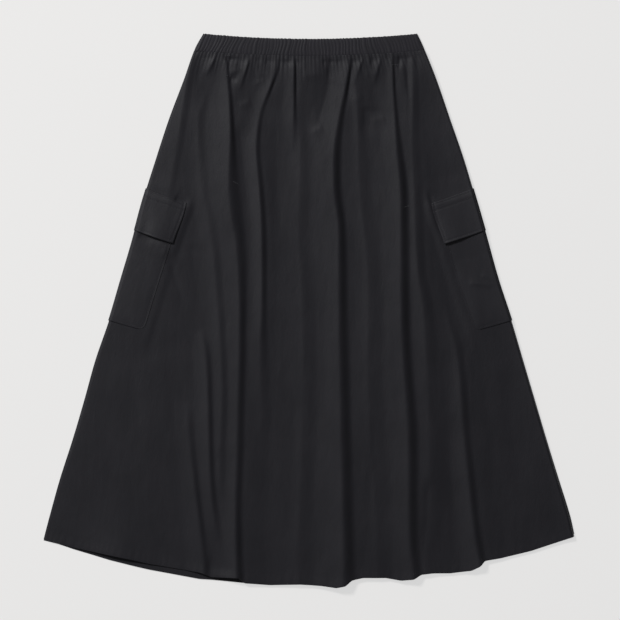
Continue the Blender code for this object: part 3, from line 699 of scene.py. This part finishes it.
# How far the back halves of the pockets lift both panels, at rows down the skirt, in mm.
LIFT_ROWS = (212.0, 237.0, 248.0, 303.0, 334.0, 440.0, 486.0)
LIFTS = (0.0, FLAP_LIFT, FLAP_LIFT + BAG_LIFT, FLAP_LIFT + BAG_LIFT, BAG_LIFT, BAG_LIFT, 0.0)

PocketWidths = namedtuple("PocketWidths", "down left right")
POCKET_WIDTHS = PocketWidths(
    down=(27, 237, 303, 440), left=(12, 60, 56, 53), right=(12, 62, 60, 56),
)


def pocket_lift(row_down, x):
    """How far the pocket halves under the skirt lift both panels."""
    left, right = seams(row_down)
    left = left + read(POCKET_WIDTHS, "left", row_down)
    right = right - read(POCKET_WIDTHS, "right", row_down)
    beyond = np.minimum(x - left, right - x) - BESIDE_POCKET
    return np.interp(row_down, LIFT_ROWS, LIFTS) * (1 - smooth(beyond / LIFT_FADES))


def crinkle(x, down):
    """Low random creases, longer down the skirt than across it."""
    values = [
        sum(
            share * noise.noise(Vector((place_x / wide, place_down / long, seed)))
            for wide, long, share, seed in CRINKLES
        )
        for place_x, place_down in zip(x.ravel(), down.ravel())
    ]
    return CRINKLE_HEIGHT * np.array(values).reshape(x.shape)


def hem_rest(x, row_down):
    """How far the left part of the hem sinks onto the back panel, except where it gapes."""
    low = near_hem(row_down, HEM_REST_STARTS)
    at_left = smooth((HEM_REST_TO - x) / HEM_REST_FADES)
    gape = HEM_GAPE * hump(x - HEM_GAPE_AT, HEM_GAPE_WIDE) * low ** HEM_GAPE_LOW
    return low * at_left * HEM_REST - gape


def turned_hem(share, row_down):
    """Height of the turned hem: thicker below its stitches, and puckered along them."""
    above = HEM - HEM_STITCH_INSET - row_down
    turns, wander, wanders = PUCKER_TURNS
    thicker = HEM_THICKER * smooth(0.5 - above / HEM_STEP)
    groove = HEM_GROOVE[0] * hump(above, HEM_GROOVE[1])
    pucker = PUCKER[0] * np.sin(share * turns + wander * np.sin(share * wanders))
    return thicker - groove + pucker * hump(above, PUCKER[1])


def front_surface(share, row_down):
    """Outside of the front panel, at shares of its width from 0 to 1 and rows down."""
    left, right = seams(row_down)
    x = left + (right - left) * share
    down = panel_down(row_down, x, "front")
    from_side = np.minimum(x - left, right - x)
    inside = 1 - np.exp(-from_side / SIDE_PUFF_REACH)
    level = REST_LEVEL + pocket_lift(row_down, x)
    level += SIDE_PUFF * (1 - np.exp((left - x) / SIDE_PUFF_REACH))
    level += SEAM_RISE * np.exp((x - right) / SEAM_RISE_REACH)
    level += WAIST_RISE * (1 - smooth((row_down - BAND_FOOT) / (WAIST_RISE_ENDS - BAND_FOOT)))
    below_band = np.maximum(row_down - BAND_FOOT, 0.0)
    folds = fold_height(x, down) * smooth(FOLDS_AT_BAND + below_band / FOLDS_GROW)
    ribs = RIB_HEIGHT * ribs_left(row_down) * rib_shape(share, front_ribs)
    grown = smooth((below_band - CREASES_START) / CREASES_GROW)
    creases = crease_height(x, down) * inside
    creases *= CREASES_AT_BAND + (1 - CREASES_AT_BAND) * grown
    level -= TUCK * hump(below_band, TUCK_REACH)
    level += turned_hem(share, row_down) + folds + ribs + creases + crinkle(x, down) * inside
    level -= hem_rest(x, row_down)
    level -= (level - SEAM_LEVEL) * hump(from_side, SEAM_ROLL)
    return on_table(x + LEAN * folds * inside, down, level)


sample = front_surface(np.array([0.5]), np.array([300.0]))
print("Middle of the front stands", round(float(sample[0, 2]), 1), "mm high")

# %% [markdown]
# ## Making cloth from a grid
#
# A flat grid from Blender's own operator already has its faces in order. Each of its
# points then looks up its place in an array, so the cloth is shaped without listing a
# face by hand. The UV map measures the cloth along each row, and down the skirt, in
# millimetres: the weave then doesn't stretch across the folds.


# %% Cloth from a grid
def cloth_map(places):
    """UV of each point in millimetres: along its row from the middle, and down the skirt."""
    across = np.linalg.norm(np.diff(places, axis=1), axis=2)
    across = np.concatenate([np.zeros((len(places), 1)), np.cumsum(across, axis=1)], axis=1)
    across -= across[:, [across.shape[1] // 2]]
    return np.stack([across, places[:, :, 1]], axis=-1)


def cloth_mesh(places):
    """A bmesh grid moved to places, an array of rows by columns with x, y, z in millimetres."""
    rows, columns = places.shape[:2]
    sheet = bmesh.new()
    bmesh.ops.create_grid(sheet, x_segments=columns - 1, y_segments=rows - 1, size=0.5)
    uv_values = cloth_map(places)
    weave = sheet.loops.layers.uv.new("weave")
    looked_up = {}
    for vertex in sheet.verts:
        row = round((0.5 - vertex.co.y) * (rows - 1))
        column = round((vertex.co.x + 0.5) * (columns - 1))
        looked_up[vertex] = uv_values[row, column]
        vertex.co = Vector(places[row, column]) * MM
    for face in sheet.faces:
        for loop in face.loops:
            loop[weave].uv = looked_up[loop.vert]
    return sheet


def make_piece(name, mesh, material, replaced=()):
    """Turns a bmesh into a smooth piece that rides on the skirt."""
    data = bpy.data.meshes.new(name)
    mesh.to_mesh(data)
    mesh.free()
    data.shade_smooth()
    data.materials.append(material)
    piece = bpy.data.objects.new(name, data)
    bpy.context.collection.objects.link(piece)
    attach(piece, "root")
    if replaced:
        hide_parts(*replaced)
    print(name, len(data.polygons), "faces")
    return piece


def thicken(piece, thickness):
    """Gives a sheet its thickness, inwards from its outside."""
    wall = piece.modifiers.new("thickness", "SOLIDIFY")
    wall.thickness = thickness * MM
    wall.offset = -1.0
    wall.use_even_offset = False


# %% [markdown]
# ## The front panel
#
# The front is cut as a flared piece and gathered into the band. Its grid has four
# columns to a rib, and its rows crowd towards the waist, where the creases are small.

# %% Front panel
FRONT_COLUMNS = RIBS * 4
FRONT_ROWS = 176
PANEL_TOP = 28.2      # mm down, just inside the band, so that no gap shows at the seam
ROWS_CROWD = 1.3      # above 1, so that rows crowd towards the waist
HEM_ROWS = (2.4, 1.0, 0.4, 0.0)     # mm above the edge, close together for a crisp edge
FRONT_WALL = 1.0


def row_places(count, top, foot):
    """Rows from top to foot, closer together near the top, with three more at the hem."""
    rows = top + (foot - top) * (np.arange(count + 1) / count) ** ROWS_CROWD
    return np.concatenate([rows[:-1], foot - np.array(HEM_ROWS)])


shares, row_downs = np.meshgrid(
    np.linspace(0.0, 1.0, FRONT_COLUMNS + 1), row_places(FRONT_ROWS, PANEL_TOP, HEM)
)
front_places = front_surface(shares, row_downs)
front_cloth = make_piece(
    "front_cloth", cloth_mesh(front_places), panel_cloth, ["front_panel"]
)
thicken(front_cloth, FRONT_WALL)

# %% [markdown]
# ## The back panel
#
# The back lies on the table, so it is flat apart from shallow creases, which the weight
# of the front has pressed. They lift off the table where the front's folds leave room.

# %% Back panel
BACK_COLUMNS = RIBS * 3
BACK_ROWS = 110
BACK_WALL = 0.65
BACK_REST = 0.35      # mm, so that the stitches under the hem just reach the table
BACK_CREASE = 1.0     # mm, the most that a pressed fold stands up
BACK_PRESS = 5.0      # mm, the height of a fold that is pressed to half of that
BACK_RIB = 0.8
BACK_TROUGH = -0.6    # mm, the deepest that a crease goes
BACK_CREASES_LEFT = 0.4   # share of the creases' height that is left when they are pressed


def back_surface(share, row_down):
    """Underside of the back panel. It mirrors the front's folds, much lower."""
    left, right = seams(row_down)
    x = left + (right - left) * share
    down = panel_down(row_down, x, "back")
    inside = 1 - np.exp(-np.minimum(x - left, right - x) / SIDE_PUFF_REACH)
    mirrored = (left + right) - x
    folds = fold_height(mirrored, down)
    pressed = BACK_CREASE * folds / (folds + BACK_PRESS)
    ribs = BACK_RIB * ribs_left(row_down) * rib_shape(1 - share, back_ribs)
    creases = BACK_CREASES_LEFT * np.maximum(crease_height(mirrored, down), BACK_TROUGH)
    lifted = np.maximum(pressed + ribs + creases, 0.0) * inside
    return on_table(x, down, BACK_REST + pocket_lift(row_down, x) + lifted)


shares, row_downs = np.meshgrid(
    np.linspace(1.0, 0.0, BACK_COLUMNS + 1), row_places(BACK_ROWS, BAND_FOOT, HEM)
)
back_cloth = make_piece(
    "back_cloth", cloth_mesh(back_surface(shares, row_downs)), panel_cloth,
    ["back_panel"],
)
thicken(back_cloth, BACK_WALL)

# %% [markdown]
# ## The waistband
#
# The band is a casing of the same cloth, folded over wide elastic and sewn down. Laid
# flat it is a squashed ring. A grid runs once round the ring and once round the wall,
# and its open ends are then merged, which closes it like a doughnut.

# %% Waistband
BAND_TOP = 2.2        # mm down at the sides, as is the next
BAND_END = 29.6
BAND_WALL = 2.4       # mm, casing and elastic together
BAND_SLOT = 0.8       # mm, between the front and the back of the band
BAND_COLUMNS = RIBS * 6
EDGE_COLUMNS = 8
WALL_POINTS = 22
WALL_FLAT = 0.45      # below 1, so that the faces of the casing are flatter than a circle
WALL_ENDS = 0.8       # the same for its top and foot
BAND_RIB = 0.62
RIB_AT_TOP = 0.8      # share of BAND_RIB that ribs stand up at the top of the band,
RIB_GAIN = 0.5        # and what they gain down to its foot
RIB_LEVEL = 0.35      # share of a rib that lies below the casing's own face
RIBS_BELOW = 0.25     # share of the ribs' height that is left on the pressed underside
TOP_WAVE = 0.9        # mm, how far the top edge dips between ribs
RIB_WANDER = 0.2      # how far ribs wander sideways down the band, as a share of a rib
WANDER_TURNS = (6, 23)    # radians of that down the band and across it


def band_ring():
    """Share across, turn round the fold and ribs of each point, for one lap of the band."""
    across = [column / BAND_COLUMNS for column in range(BAND_COLUMNS + 1)]
    turns = np.linspace(90.0, -90.0, EDGE_COLUMNS + 2)[1:-1]
    lap = [(share, 90.0, front_ribs) for share in across]
    lap += [(1.0, turn, front_ribs) for turn in turns]
    lap += [(1 - share, -90.0, back_ribs) for share in across]
    lap += [(0.0, turn, back_ribs) for turn in turns[::-1]]
    return lap


def bulged(value, power):
    """A sine or cosine raised to a power, with its sign kept."""
    return math.copysign(abs(value) ** power, value)


def band_wall():
    """Height share, distance out from the wall's middle and rib share, round the casing."""
    wall = []
    for point in range(WALL_POINTS):
        turn = math.tau * point / WALL_POINTS
        out = bulged(math.cos(turn), WALL_FLAT)
        high = 0.5 - 0.5 * bulged(math.sin(turn), WALL_ENDS)
        wall.append((high, out * BAND_WALL / 2, max(0.0, out)))
    return wall


def band_places():
    """Places of the ring's points, as an array of laps by points."""
    middle_radius = (BAND_WALL + BAND_SLOT) / 2
    level = BAND_WALL + BAND_SLOT / 2
    inset = middle_radius + BAND_WALL / 2
    places = []
    for high, out, rib_part in band_wall():
        row_down = BAND_TOP + (BAND_END - BAND_TOP) * high
        left, right = (float(seam) for seam in seams(row_down))
        left += inset
        right -= inset
        line = []
        for share, turn, ribs in band_ring():
            x = left + (right - left) * share
            wander = math.sin(WANDER_TURNS[0] * high + WANDER_TURNS[1] * share)
            wander = RIB_WANDER / RIBS * wander
            rib = float(rib_shape(min(max(share + wander, 0.0), 1.0), ribs))
            cosine = math.cos(math.radians(turn))
            sine = math.sin(math.radians(turn))
            radius = middle_radius + out
            end = 1.0 if share == 1.0 else -1.0
            x += end * radius * cosine if share in (0.0, 1.0) else 0.0
            z = level + radius * sine
            bulge = BAND_RIB * (RIB_AT_TOP + RIB_GAIN * high) * rib_part * (rib - RIB_LEVEL)
            bulge *= abs(sine)
            z += bulge if sine > 0 else RIBS_BELOW * bulge
            sag = TOP_WAVE * (1 - high) * (1 - rib) * abs(sine)
            down = float(arc_down(row_down, x)) + sag
            line.append((x + SHIFT_X, SHIFT_Y - down, max(z, 0.0)))
        places.append(line + line[:1])
    return np.array(places + places[:1])


band_grid = cloth_mesh(band_places()[:, ::-1])
bmesh.ops.remove_doubles(band_grid, verts=band_grid.verts, dist=0.00002)
waistband = make_piece(
    "waistband_casing", band_grid, band_cloth, ["waistband"]
)

# %% [markdown]
# ## Cargo pockets
#
# Each pocket is a flat bag sewn over the side seam, half on the front and half on the
# back, with a flap of doubled cloth over its mouth. So its cloth comes from the panels'
# own surfaces: out over the front, round the seam, and back under the back panel.

# %% Cloth round a side seam
SIDES = ("left", "right")
FLAP_TOP = 238.5      # mm down at the sides, as are the next three
BAG_TOP = 248.0
FLAP_FOOT = 303.0
BAG_FOOT = 440.0
OVER_COLUMNS = 36
COLUMNS_CROWD = 1.35  # above 1, so that columns crowd towards the inner edge
WRAP_TURNS = (75, 45, 15, -15, -45, -75)
WRAP_COLUMNS = 2 * (OVER_COLUMNS + 1) + len(WRAP_TURNS)
WRAP_EASE = 0.4       # mm, how much further out the cloth swings than it stands off

Wrapped = namedtuple("Wrapped", "piece places reach row_step")     # row_step is in mm


def over_share():
    """Share of the way from a wrapped piece's inner edge to the seam, for each column."""
    return (np.arange(OVER_COLUMNS + 1) / OVER_COLUMNS) ** COLUMNS_CROWD


def wrap_surface(side, reach, row_down, off, drop=0.0):
    """Rows of points from the front, round one side seam, to the back.

    reach is how far in from the seam each row starts, off how far the cloth stands off
    the two panels, and drop how far a row's inner end hangs below its seam end: one
    number for each row."""
    inwards = 1 - over_share()
    left, right = seams(row_down)
    width = right - left
    share = inwards * (reach / width)[:, None]
    rows = row_down[:, None] + np.reshape(drop, (-1, 1)) * inwards
    if side == "right":
        share = 1 - share
    front = front_surface(share, rows)
    front[:, :, 2] += off[:, None]
    back = back_surface(share, rows)[:, ::-1]
    lift = pocket_lift(rows, left[:, None] + width[:, None] * share)[:, ::-1]
    back[:, :, 2] = BACK_REST + np.maximum(lift - off[:, None], 0.0)
    top = front[:, -1]
    bottom = back[:, 0]
    seam_way = np.gradient(top, axis=0)
    outward = np.stack([seam_way[:, 1], -seam_way[:, 0], np.zeros(len(top))], axis=-1)
    outward *= np.where(side == "left", 1.0, -1.0) / np.linalg.norm(outward, axis=1)[:, None]
    middle = (top + bottom) / 2
    rise = np.abs(top[:, 2] - bottom[:, 2]) / 2
    bulge = (off + WRAP_EASE)[:, None] * outward
    wrap = []
    for turn in WRAP_TURNS:
        point = middle + bulge * math.cos(math.radians(turn))
        point[:, 2] = middle[:, 2] + rise * math.sin(math.radians(turn))
        wrap.append(point)
    places = np.concatenate([front, np.stack(wrap, axis=1), back], axis=1)
    return places if side == "right" else places[:, ::-1]


print("Columns across a pocket:", WRAP_COLUMNS)

# %% [markdown]
# The bags are single cloth, turned in at the edge and topstitched. The turned edge is
# a little thicker than the middle, the stitching pulls a shallow groove just inside it,
# and the inner bottom corner is rounded.

# %% Pocket bags
BAG_ROWS = 110
BAG_WALL = 0.3
BAG_CORNER = 10.0     # mm, radius of the rounded corner
BAG_MOUTH_OFF = 0.5   # mm, how far the mouth stands off the panel, under the flap
BAG_EDGE = (0.3, 8.0)     # share of its height at the edge, and mm over which it rises
BAG_GROOVE = 0.12     # mm, how deep the thread pulls the cloth
BAG_STITCH_INSET = 3.0
EDGE_ROLL = 0.1       # mm, how much a turned edge stands up
EDGE_ROLL_WIDTH = 2.2
GROOVE_WIDTH = 1.2
FRONT_FADES = 1.4     # where the front's shape has died out, in half laps round the seam


def sewn_edge(distance, inset, groove):
    """Height of a turned edge, with a groove along its row of stitches."""
    roll = EDGE_ROLL * hump(distance, EDGE_ROLL_WIDTH)
    return roll - groove * hump(distance - inset, GROOVE_WIDTH)


def pressed_edge(distance, low, wide):
    """Share of its full height that cloth has near an edge that is sewn down flat."""
    return low + (1 - low) * (1 - hump(distance, wide))


def columns_from_edge(reach):
    """Distance of each column of a wrapped piece from its nearer inner edge."""
    over = over_share()[None, :] * reach[:, None]
    wrap = np.repeat(reach[:, None], len(WRAP_TURNS), axis=1)
    return np.concatenate([over, wrap, over[:, ::-1]], axis=1)


def bag_reach(side, row_down):
    """How far in from the seam a bag reaches, with its round bottom corner."""
    reach = read(POCKET_WIDTHS, side, row_down)
    into_corner = np.clip(BAG_CORNER - (BAG_FOOT - row_down), 0.0, BAG_CORNER)
    return reach - (BAG_CORNER - np.sqrt(BAG_CORNER ** 2 - into_corner ** 2))


def front_only(side):
    """1 from a wrapped piece's inner edge on the front, falling to 0 round the seam."""
    fade = smooth(FRONT_FADES - np.arange(WRAP_COLUMNS) / (OVER_COLUMNS + 1))
    return fade if side == "right" else fade[::-1]


def make_wrapped(kind, node, side, places, height, wall):
    """Raises the front of a wrapped piece by a height, and makes the piece."""
    places[:, :, 2] += height * front_only(side)
    piece = make_piece(
        f"pocket_{kind}_{side}", cloth_mesh(places), pocket_cloth,
        [f"{node}_{side}"],
    )
    thicken(piece, wall)
    return piece


bag_downs = np.linspace(BAG_TOP, BAG_FOOT, BAG_ROWS + 1)
bag_off = np.interp(bag_downs, (BAG_TOP, FLAP_FOOT), (BAG_MOUTH_OFF, BAG_LIFT))
pockets = {}
for side in SIDES:
    reach = bag_reach(side, bag_downs)
    places = wrap_surface(side, reach, bag_downs, bag_off)
    to_edge = np.minimum(columns_from_edge(reach), (BAG_FOOT - bag_downs)[:, None])
    off = bag_off[:, None]
    pressed = np.maximum(off * pressed_edge(to_edge, *BAG_EDGE), BAG_WALL) - off
    height = sewn_edge(to_edge, BAG_STITCH_INSET, BAG_GROOVE) + pressed
    bag = make_wrapped("bag", "pocket", side, places, height, BAG_WALL)
    pockets[side] = Wrapped(bag, places, reach, (BAG_FOOT - BAG_TOP) / BAG_ROWS)

# %% [markdown]
# A flap is two layers, sewn, turned and topstitched, so it is stiffer than the bag. It
# is held along its top by two rows of stitches, and its free edge stands off the bag,
# most at one place on each side. On the left that gap is the darkest line of the photo's
# pockets.

# %% Flaps
FLAP_ROWS = 48
FLAP_WALL = 0.7
FLAP_OVERHANG = 2.5   # mm, how much further in a flap reaches than its bag
FLAP_DROP = (6.0, 3.5)    # mm, the drop of the inner corners at the top and at the foot
FLAP_SEAM_ROOM = 0.1      # mm, the room under a flap along its top seam
FLAP_EDGE = (0.45, 3.2)   # share of its height at the edge, and mm over which it rises
FLAP_ROLL = (0.35, 1.6, 1.4)  # mm, the roll along its edge: how high, how far in, how wide
FLAP_GROOVE = 0.3
FLAP_STITCH_INSET = 3.6
FLAP_TOP_ROWS = (2.5, 12.0)   # mm from its top, the stitches that hold it
FLAP_SPRING = {"left": (1.2, 3.8, 0.44), "right": (1.3, 1.6, 0.75)}
SPRING_GROWS = 1.6    # above 1, so that a flap bends up most near its free edge
GAP_WIDE = 0.3        # how wide the wider gap is, as a share of the flap's width


def flap_spring(side, down_share, in_share):
    """How far the flap stands off its bag: an even part, and a wider gap at one place."""
    even, extra, place = FLAP_SPRING[side]
    return down_share ** SPRING_GROWS * (even + extra * hump(in_share - place, GAP_WIDE))


flap_downs = np.linspace(FLAP_TOP, FLAP_FOOT, FLAP_ROWS + 1)
flap_off = np.interp(flap_downs, (FLAP_TOP, FLAP_FOOT), (FLAP_SEAM_ROOM, BAG_LIFT)) + FLAP_LIFT
flap_drop = np.linspace(*FLAP_DROP, FLAP_ROWS + 1)
from_top = (flap_downs - FLAP_TOP)[:, None]
down_share = from_top / (FLAP_FOOT - FLAP_TOP)
roll_height, roll_in, roll_wide = FLAP_ROLL
flaps = {}
for side in SIDES:
    reach = read(POCKET_WIDTHS, side, flap_downs) + FLAP_OVERHANG
    places = wrap_surface(side, reach, flap_downs, flap_off, flap_drop)
    to_side_edge = columns_from_edge(reach)
    to_edge = np.minimum(to_side_edge, (FLAP_FOOT - flap_downs)[:, None])
    height = sewn_edge(to_edge, FLAP_STITCH_INSET, FLAP_GROOVE)
    height += roll_height * hump(to_edge - roll_in, roll_wide)
    height += flap_off[:, None] * (pressed_edge(to_side_edge, *FLAP_EDGE) - 1)
    for row in FLAP_TOP_ROWS:
        height -= FLAP_GROOVE * hump(from_top - row, GROOVE_WIDTH)
    height += flap_spring(side, down_share, 1 - to_side_edge / reach[:, None])
    flap = make_wrapped("flap", "flap", side, places, height, FLAP_WALL)
    flaps[side] = Wrapped(flap, places, reach, (FLAP_FOOT - FLAP_TOP) / FLAP_ROWS)

# %% [markdown]
# ## Sewing
#
# A lockstitch shows as a row of short, plump dashes of thread that dive into the cloth
# at both ends. One low icosphere makes a stitch, and a function lays stitches end to
# end along any line of points on the cloth, each turned to run along that line.

# %% Stitches along a line
STITCH_PITCH = 3.0
STITCH_LENGTH = 2.5
STITCH_WIDTH = 0.6
STITCH_HEIGHT = 0.5
STITCH_OUT = 0.1      # mm, how far a stitch's middle lies outside the cloth
LOOK_AHEAD = 0.5      # mm on each side of a stitch, which give it its direction


def spaced(line, pitch):
    """Points and directions every pitch millimetres along a line of points."""
    steps = np.linalg.norm(np.diff(line, axis=0), axis=1)
    travelled = np.concatenate([[0.0], np.cumsum(steps)])

    def at(stops):
        return np.stack([np.interp(stops, travelled, line[:, axis]) for axis in range(3)], axis=-1)

    stops = np.arange(pitch / 2, travelled[-1], pitch)
    return at(stops), at(stops + LOOK_AHEAD) - at(stops - LOOK_AHEAD)


def sew(mesh, line, pitch=STITCH_PITCH, length=STITCH_LENGTH, width=STITCH_WIDTH, up=1.0):
    """Adds stitches along a line of points in millimetres. up is -1 on the underside."""
    size = Matrix.Diagonal((length / 2, width / 2, STITCH_HEIGHT / 2, 1.0))
    for point, way in zip(*spaced(line, pitch)):
        turn = Vector(way).to_track_quat("X", "Z").to_matrix().to_4x4()
        place = Matrix.Translation(Vector(point) + Vector((0.0, 0.0, STITCH_OUT * up)))
        bmesh.ops.create_icosphere(
            mesh, subdivisions=1, radius=1.0, matrix=Matrix.Scale(MM, 4) @ place @ turn @ size
        )


def wrapped_line(places, rows, columns):
    """Points of a line on a wrapped piece, at fractional rows and columns of its grid."""
    low_row = np.clip(np.floor(rows).astype(int), 0, places.shape[0] - 2)
    low_column = np.clip(np.floor(columns).astype(int), 0, places.shape[1] - 2)
    down = (rows - low_row)[:, None]
    across = (columns - low_column)[:, None]
    upper, lower = (
        places[row, low_column] * (1 - across) + places[row, low_column + 1] * across
        for row in (low_row, low_row + 1)
    )
    return upper * (1 - down) + lower * down


print("A stitch every", STITCH_PITCH, "mm")

# %% [markdown]
# The bag has one row just inside its turned edge. The flap has one row round its free
# edges and two that hold it at the top. The grids' own rows and columns lead the lines.

# %% Stitches on the pockets
EDGE_POINTS = 90      # points that lead a row of stitches along a side edge,
FOOT_POINTS = 160     # along a foot
TOP_POINTS = 120      # and along the top of a flap


def column_at(distance, reach):
    """Fractional column of a wrapped piece at a distance in from its inner edge."""
    return OVER_COLUMNS * (distance / reach) ** (1 / COLUMNS_CROWD)


def inner_edge_first(wrapped, side):
    """Places of a wrapped piece with its columns counted from its edge on the front."""
    return wrapped.places if side == "right" else wrapped.places[:, ::-1]


def sew_round(mesh, wrapped, side, inset):
    """One row of stitches down the inner edge, along the foot and up the other edge."""
    places = inner_edge_first(wrapped, side)
    last_row = places.shape[0] - 1
    last_column = places.shape[1] - 1
    rows = np.linspace(1.0, last_row - inset / wrapped.row_step, EDGE_POINTS)
    edge = column_at(inset, np.interp(rows, np.arange(last_row + 1), wrapped.reach))
    foot = np.linspace(edge[-1], last_column - edge[-1], FOOT_POINTS)
    sew(mesh, np.concatenate([
        wrapped_line(places, rows, edge),
        wrapped_line(places, np.full(FOOT_POINTS, rows[-1]), foot),
        wrapped_line(places, rows[::-1], last_column - edge[::-1]),
    ]))


def sew_pocket(side):
    """All the stitches on one pocket."""
    mesh = bmesh.new()
    sew_round(mesh, pockets[side], side, BAG_STITCH_INSET)
    sew_round(mesh, flaps[side], side, FLAP_STITCH_INSET)
    places = inner_edge_first(flaps[side], side)
    columns = np.linspace(1.0, places.shape[1] - 2.0, TOP_POINTS)
    for down in FLAP_TOP_ROWS:
        sew(mesh, wrapped_line(places, np.full(TOP_POINTS, down / flaps[side].row_step), columns))
    make_piece("pocket_stitches_" + side, mesh, thread_material)


for side in SIDES:
    sew_pocket(side)

# %% [markdown]
# Both hems are turned up twice and sewn 8 mm from the edge. The bar tacks at the ends
# of the two long seam openings are short, dense satin stitches across the seam.

# %% Hem stitches and bar tacks
HEM_POINTS = 900
HEM_MARGIN = 0.004    # share of the hem's width that has no stitches at each side
BAR_LENGTH = 2.6
BAR_PITCH = 0.7       # mm, from one thread of a tack to the next
BAR_WIDTH = 0.8
ONE_STITCH = 0.98     # share of a thread's length, as a pitch that fits it just once
BOW_AT_TACK = 0.8     # how much of a row's bow is there, as a share of its middle's

BarTack = namedtuple("BarTack", "x down width tilt")
BAR_TACKS = rows_of(
    BarTack,
    (-123, 40, 9, -8), (-122, 73, 9, 0), (-112, 234, 8, 20), (131, 56, 11, 4),
    (148, 274, 9, -12),
)

hem_sewing = bmesh.new()
hem_shares = np.linspace(HEM_MARGIN, 1 - HEM_MARGIN, HEM_POINTS)
hem_row = np.full(HEM_POINTS, HEM - HEM_STITCH_INSET)
sew(hem_sewing, front_surface(hem_shares, hem_row))
sew(hem_sewing, back_surface(hem_shares, hem_row), up=-1.0)
for tack in BAR_TACKS:
    for step in np.arange(-tack.width / 2, tack.width / 2, BAR_PITCH):
        down = tack.down + step * math.tan(math.radians(tack.tilt))
        row_down = down - float(read(OUTLINE, "bow", down)) * BOW_AT_TACK
        left, right = seams(row_down)
        share = np.full(2, (tack.x + step - left) / (right - left))
        ends = np.array([row_down - BAR_LENGTH / 2, row_down + BAR_LENGTH / 2])
        sew(
            hem_sewing, front_surface(share, ends), pitch=BAR_LENGTH * ONE_STITCH,
            length=BAR_LENGTH, width=BAR_WIDTH, up=-1.0,
        )
make_piece("hem_stitches_and_bar_tacks", hem_sewing, thread_material)

# %% [markdown]
# ## The sheets of cloth
#
# The panels, the band, and the bag and flap of each pocket are sheets of cloth, and this
# counts them. The panels and the band are gathered: their cut is wider than what the
# elastic leaves of it.

for side in SIDES:
    bag = pockets[side].piece
    flap = flaps[side].piece
print("Sheets:", 3 + len(pockets) + len(flaps))
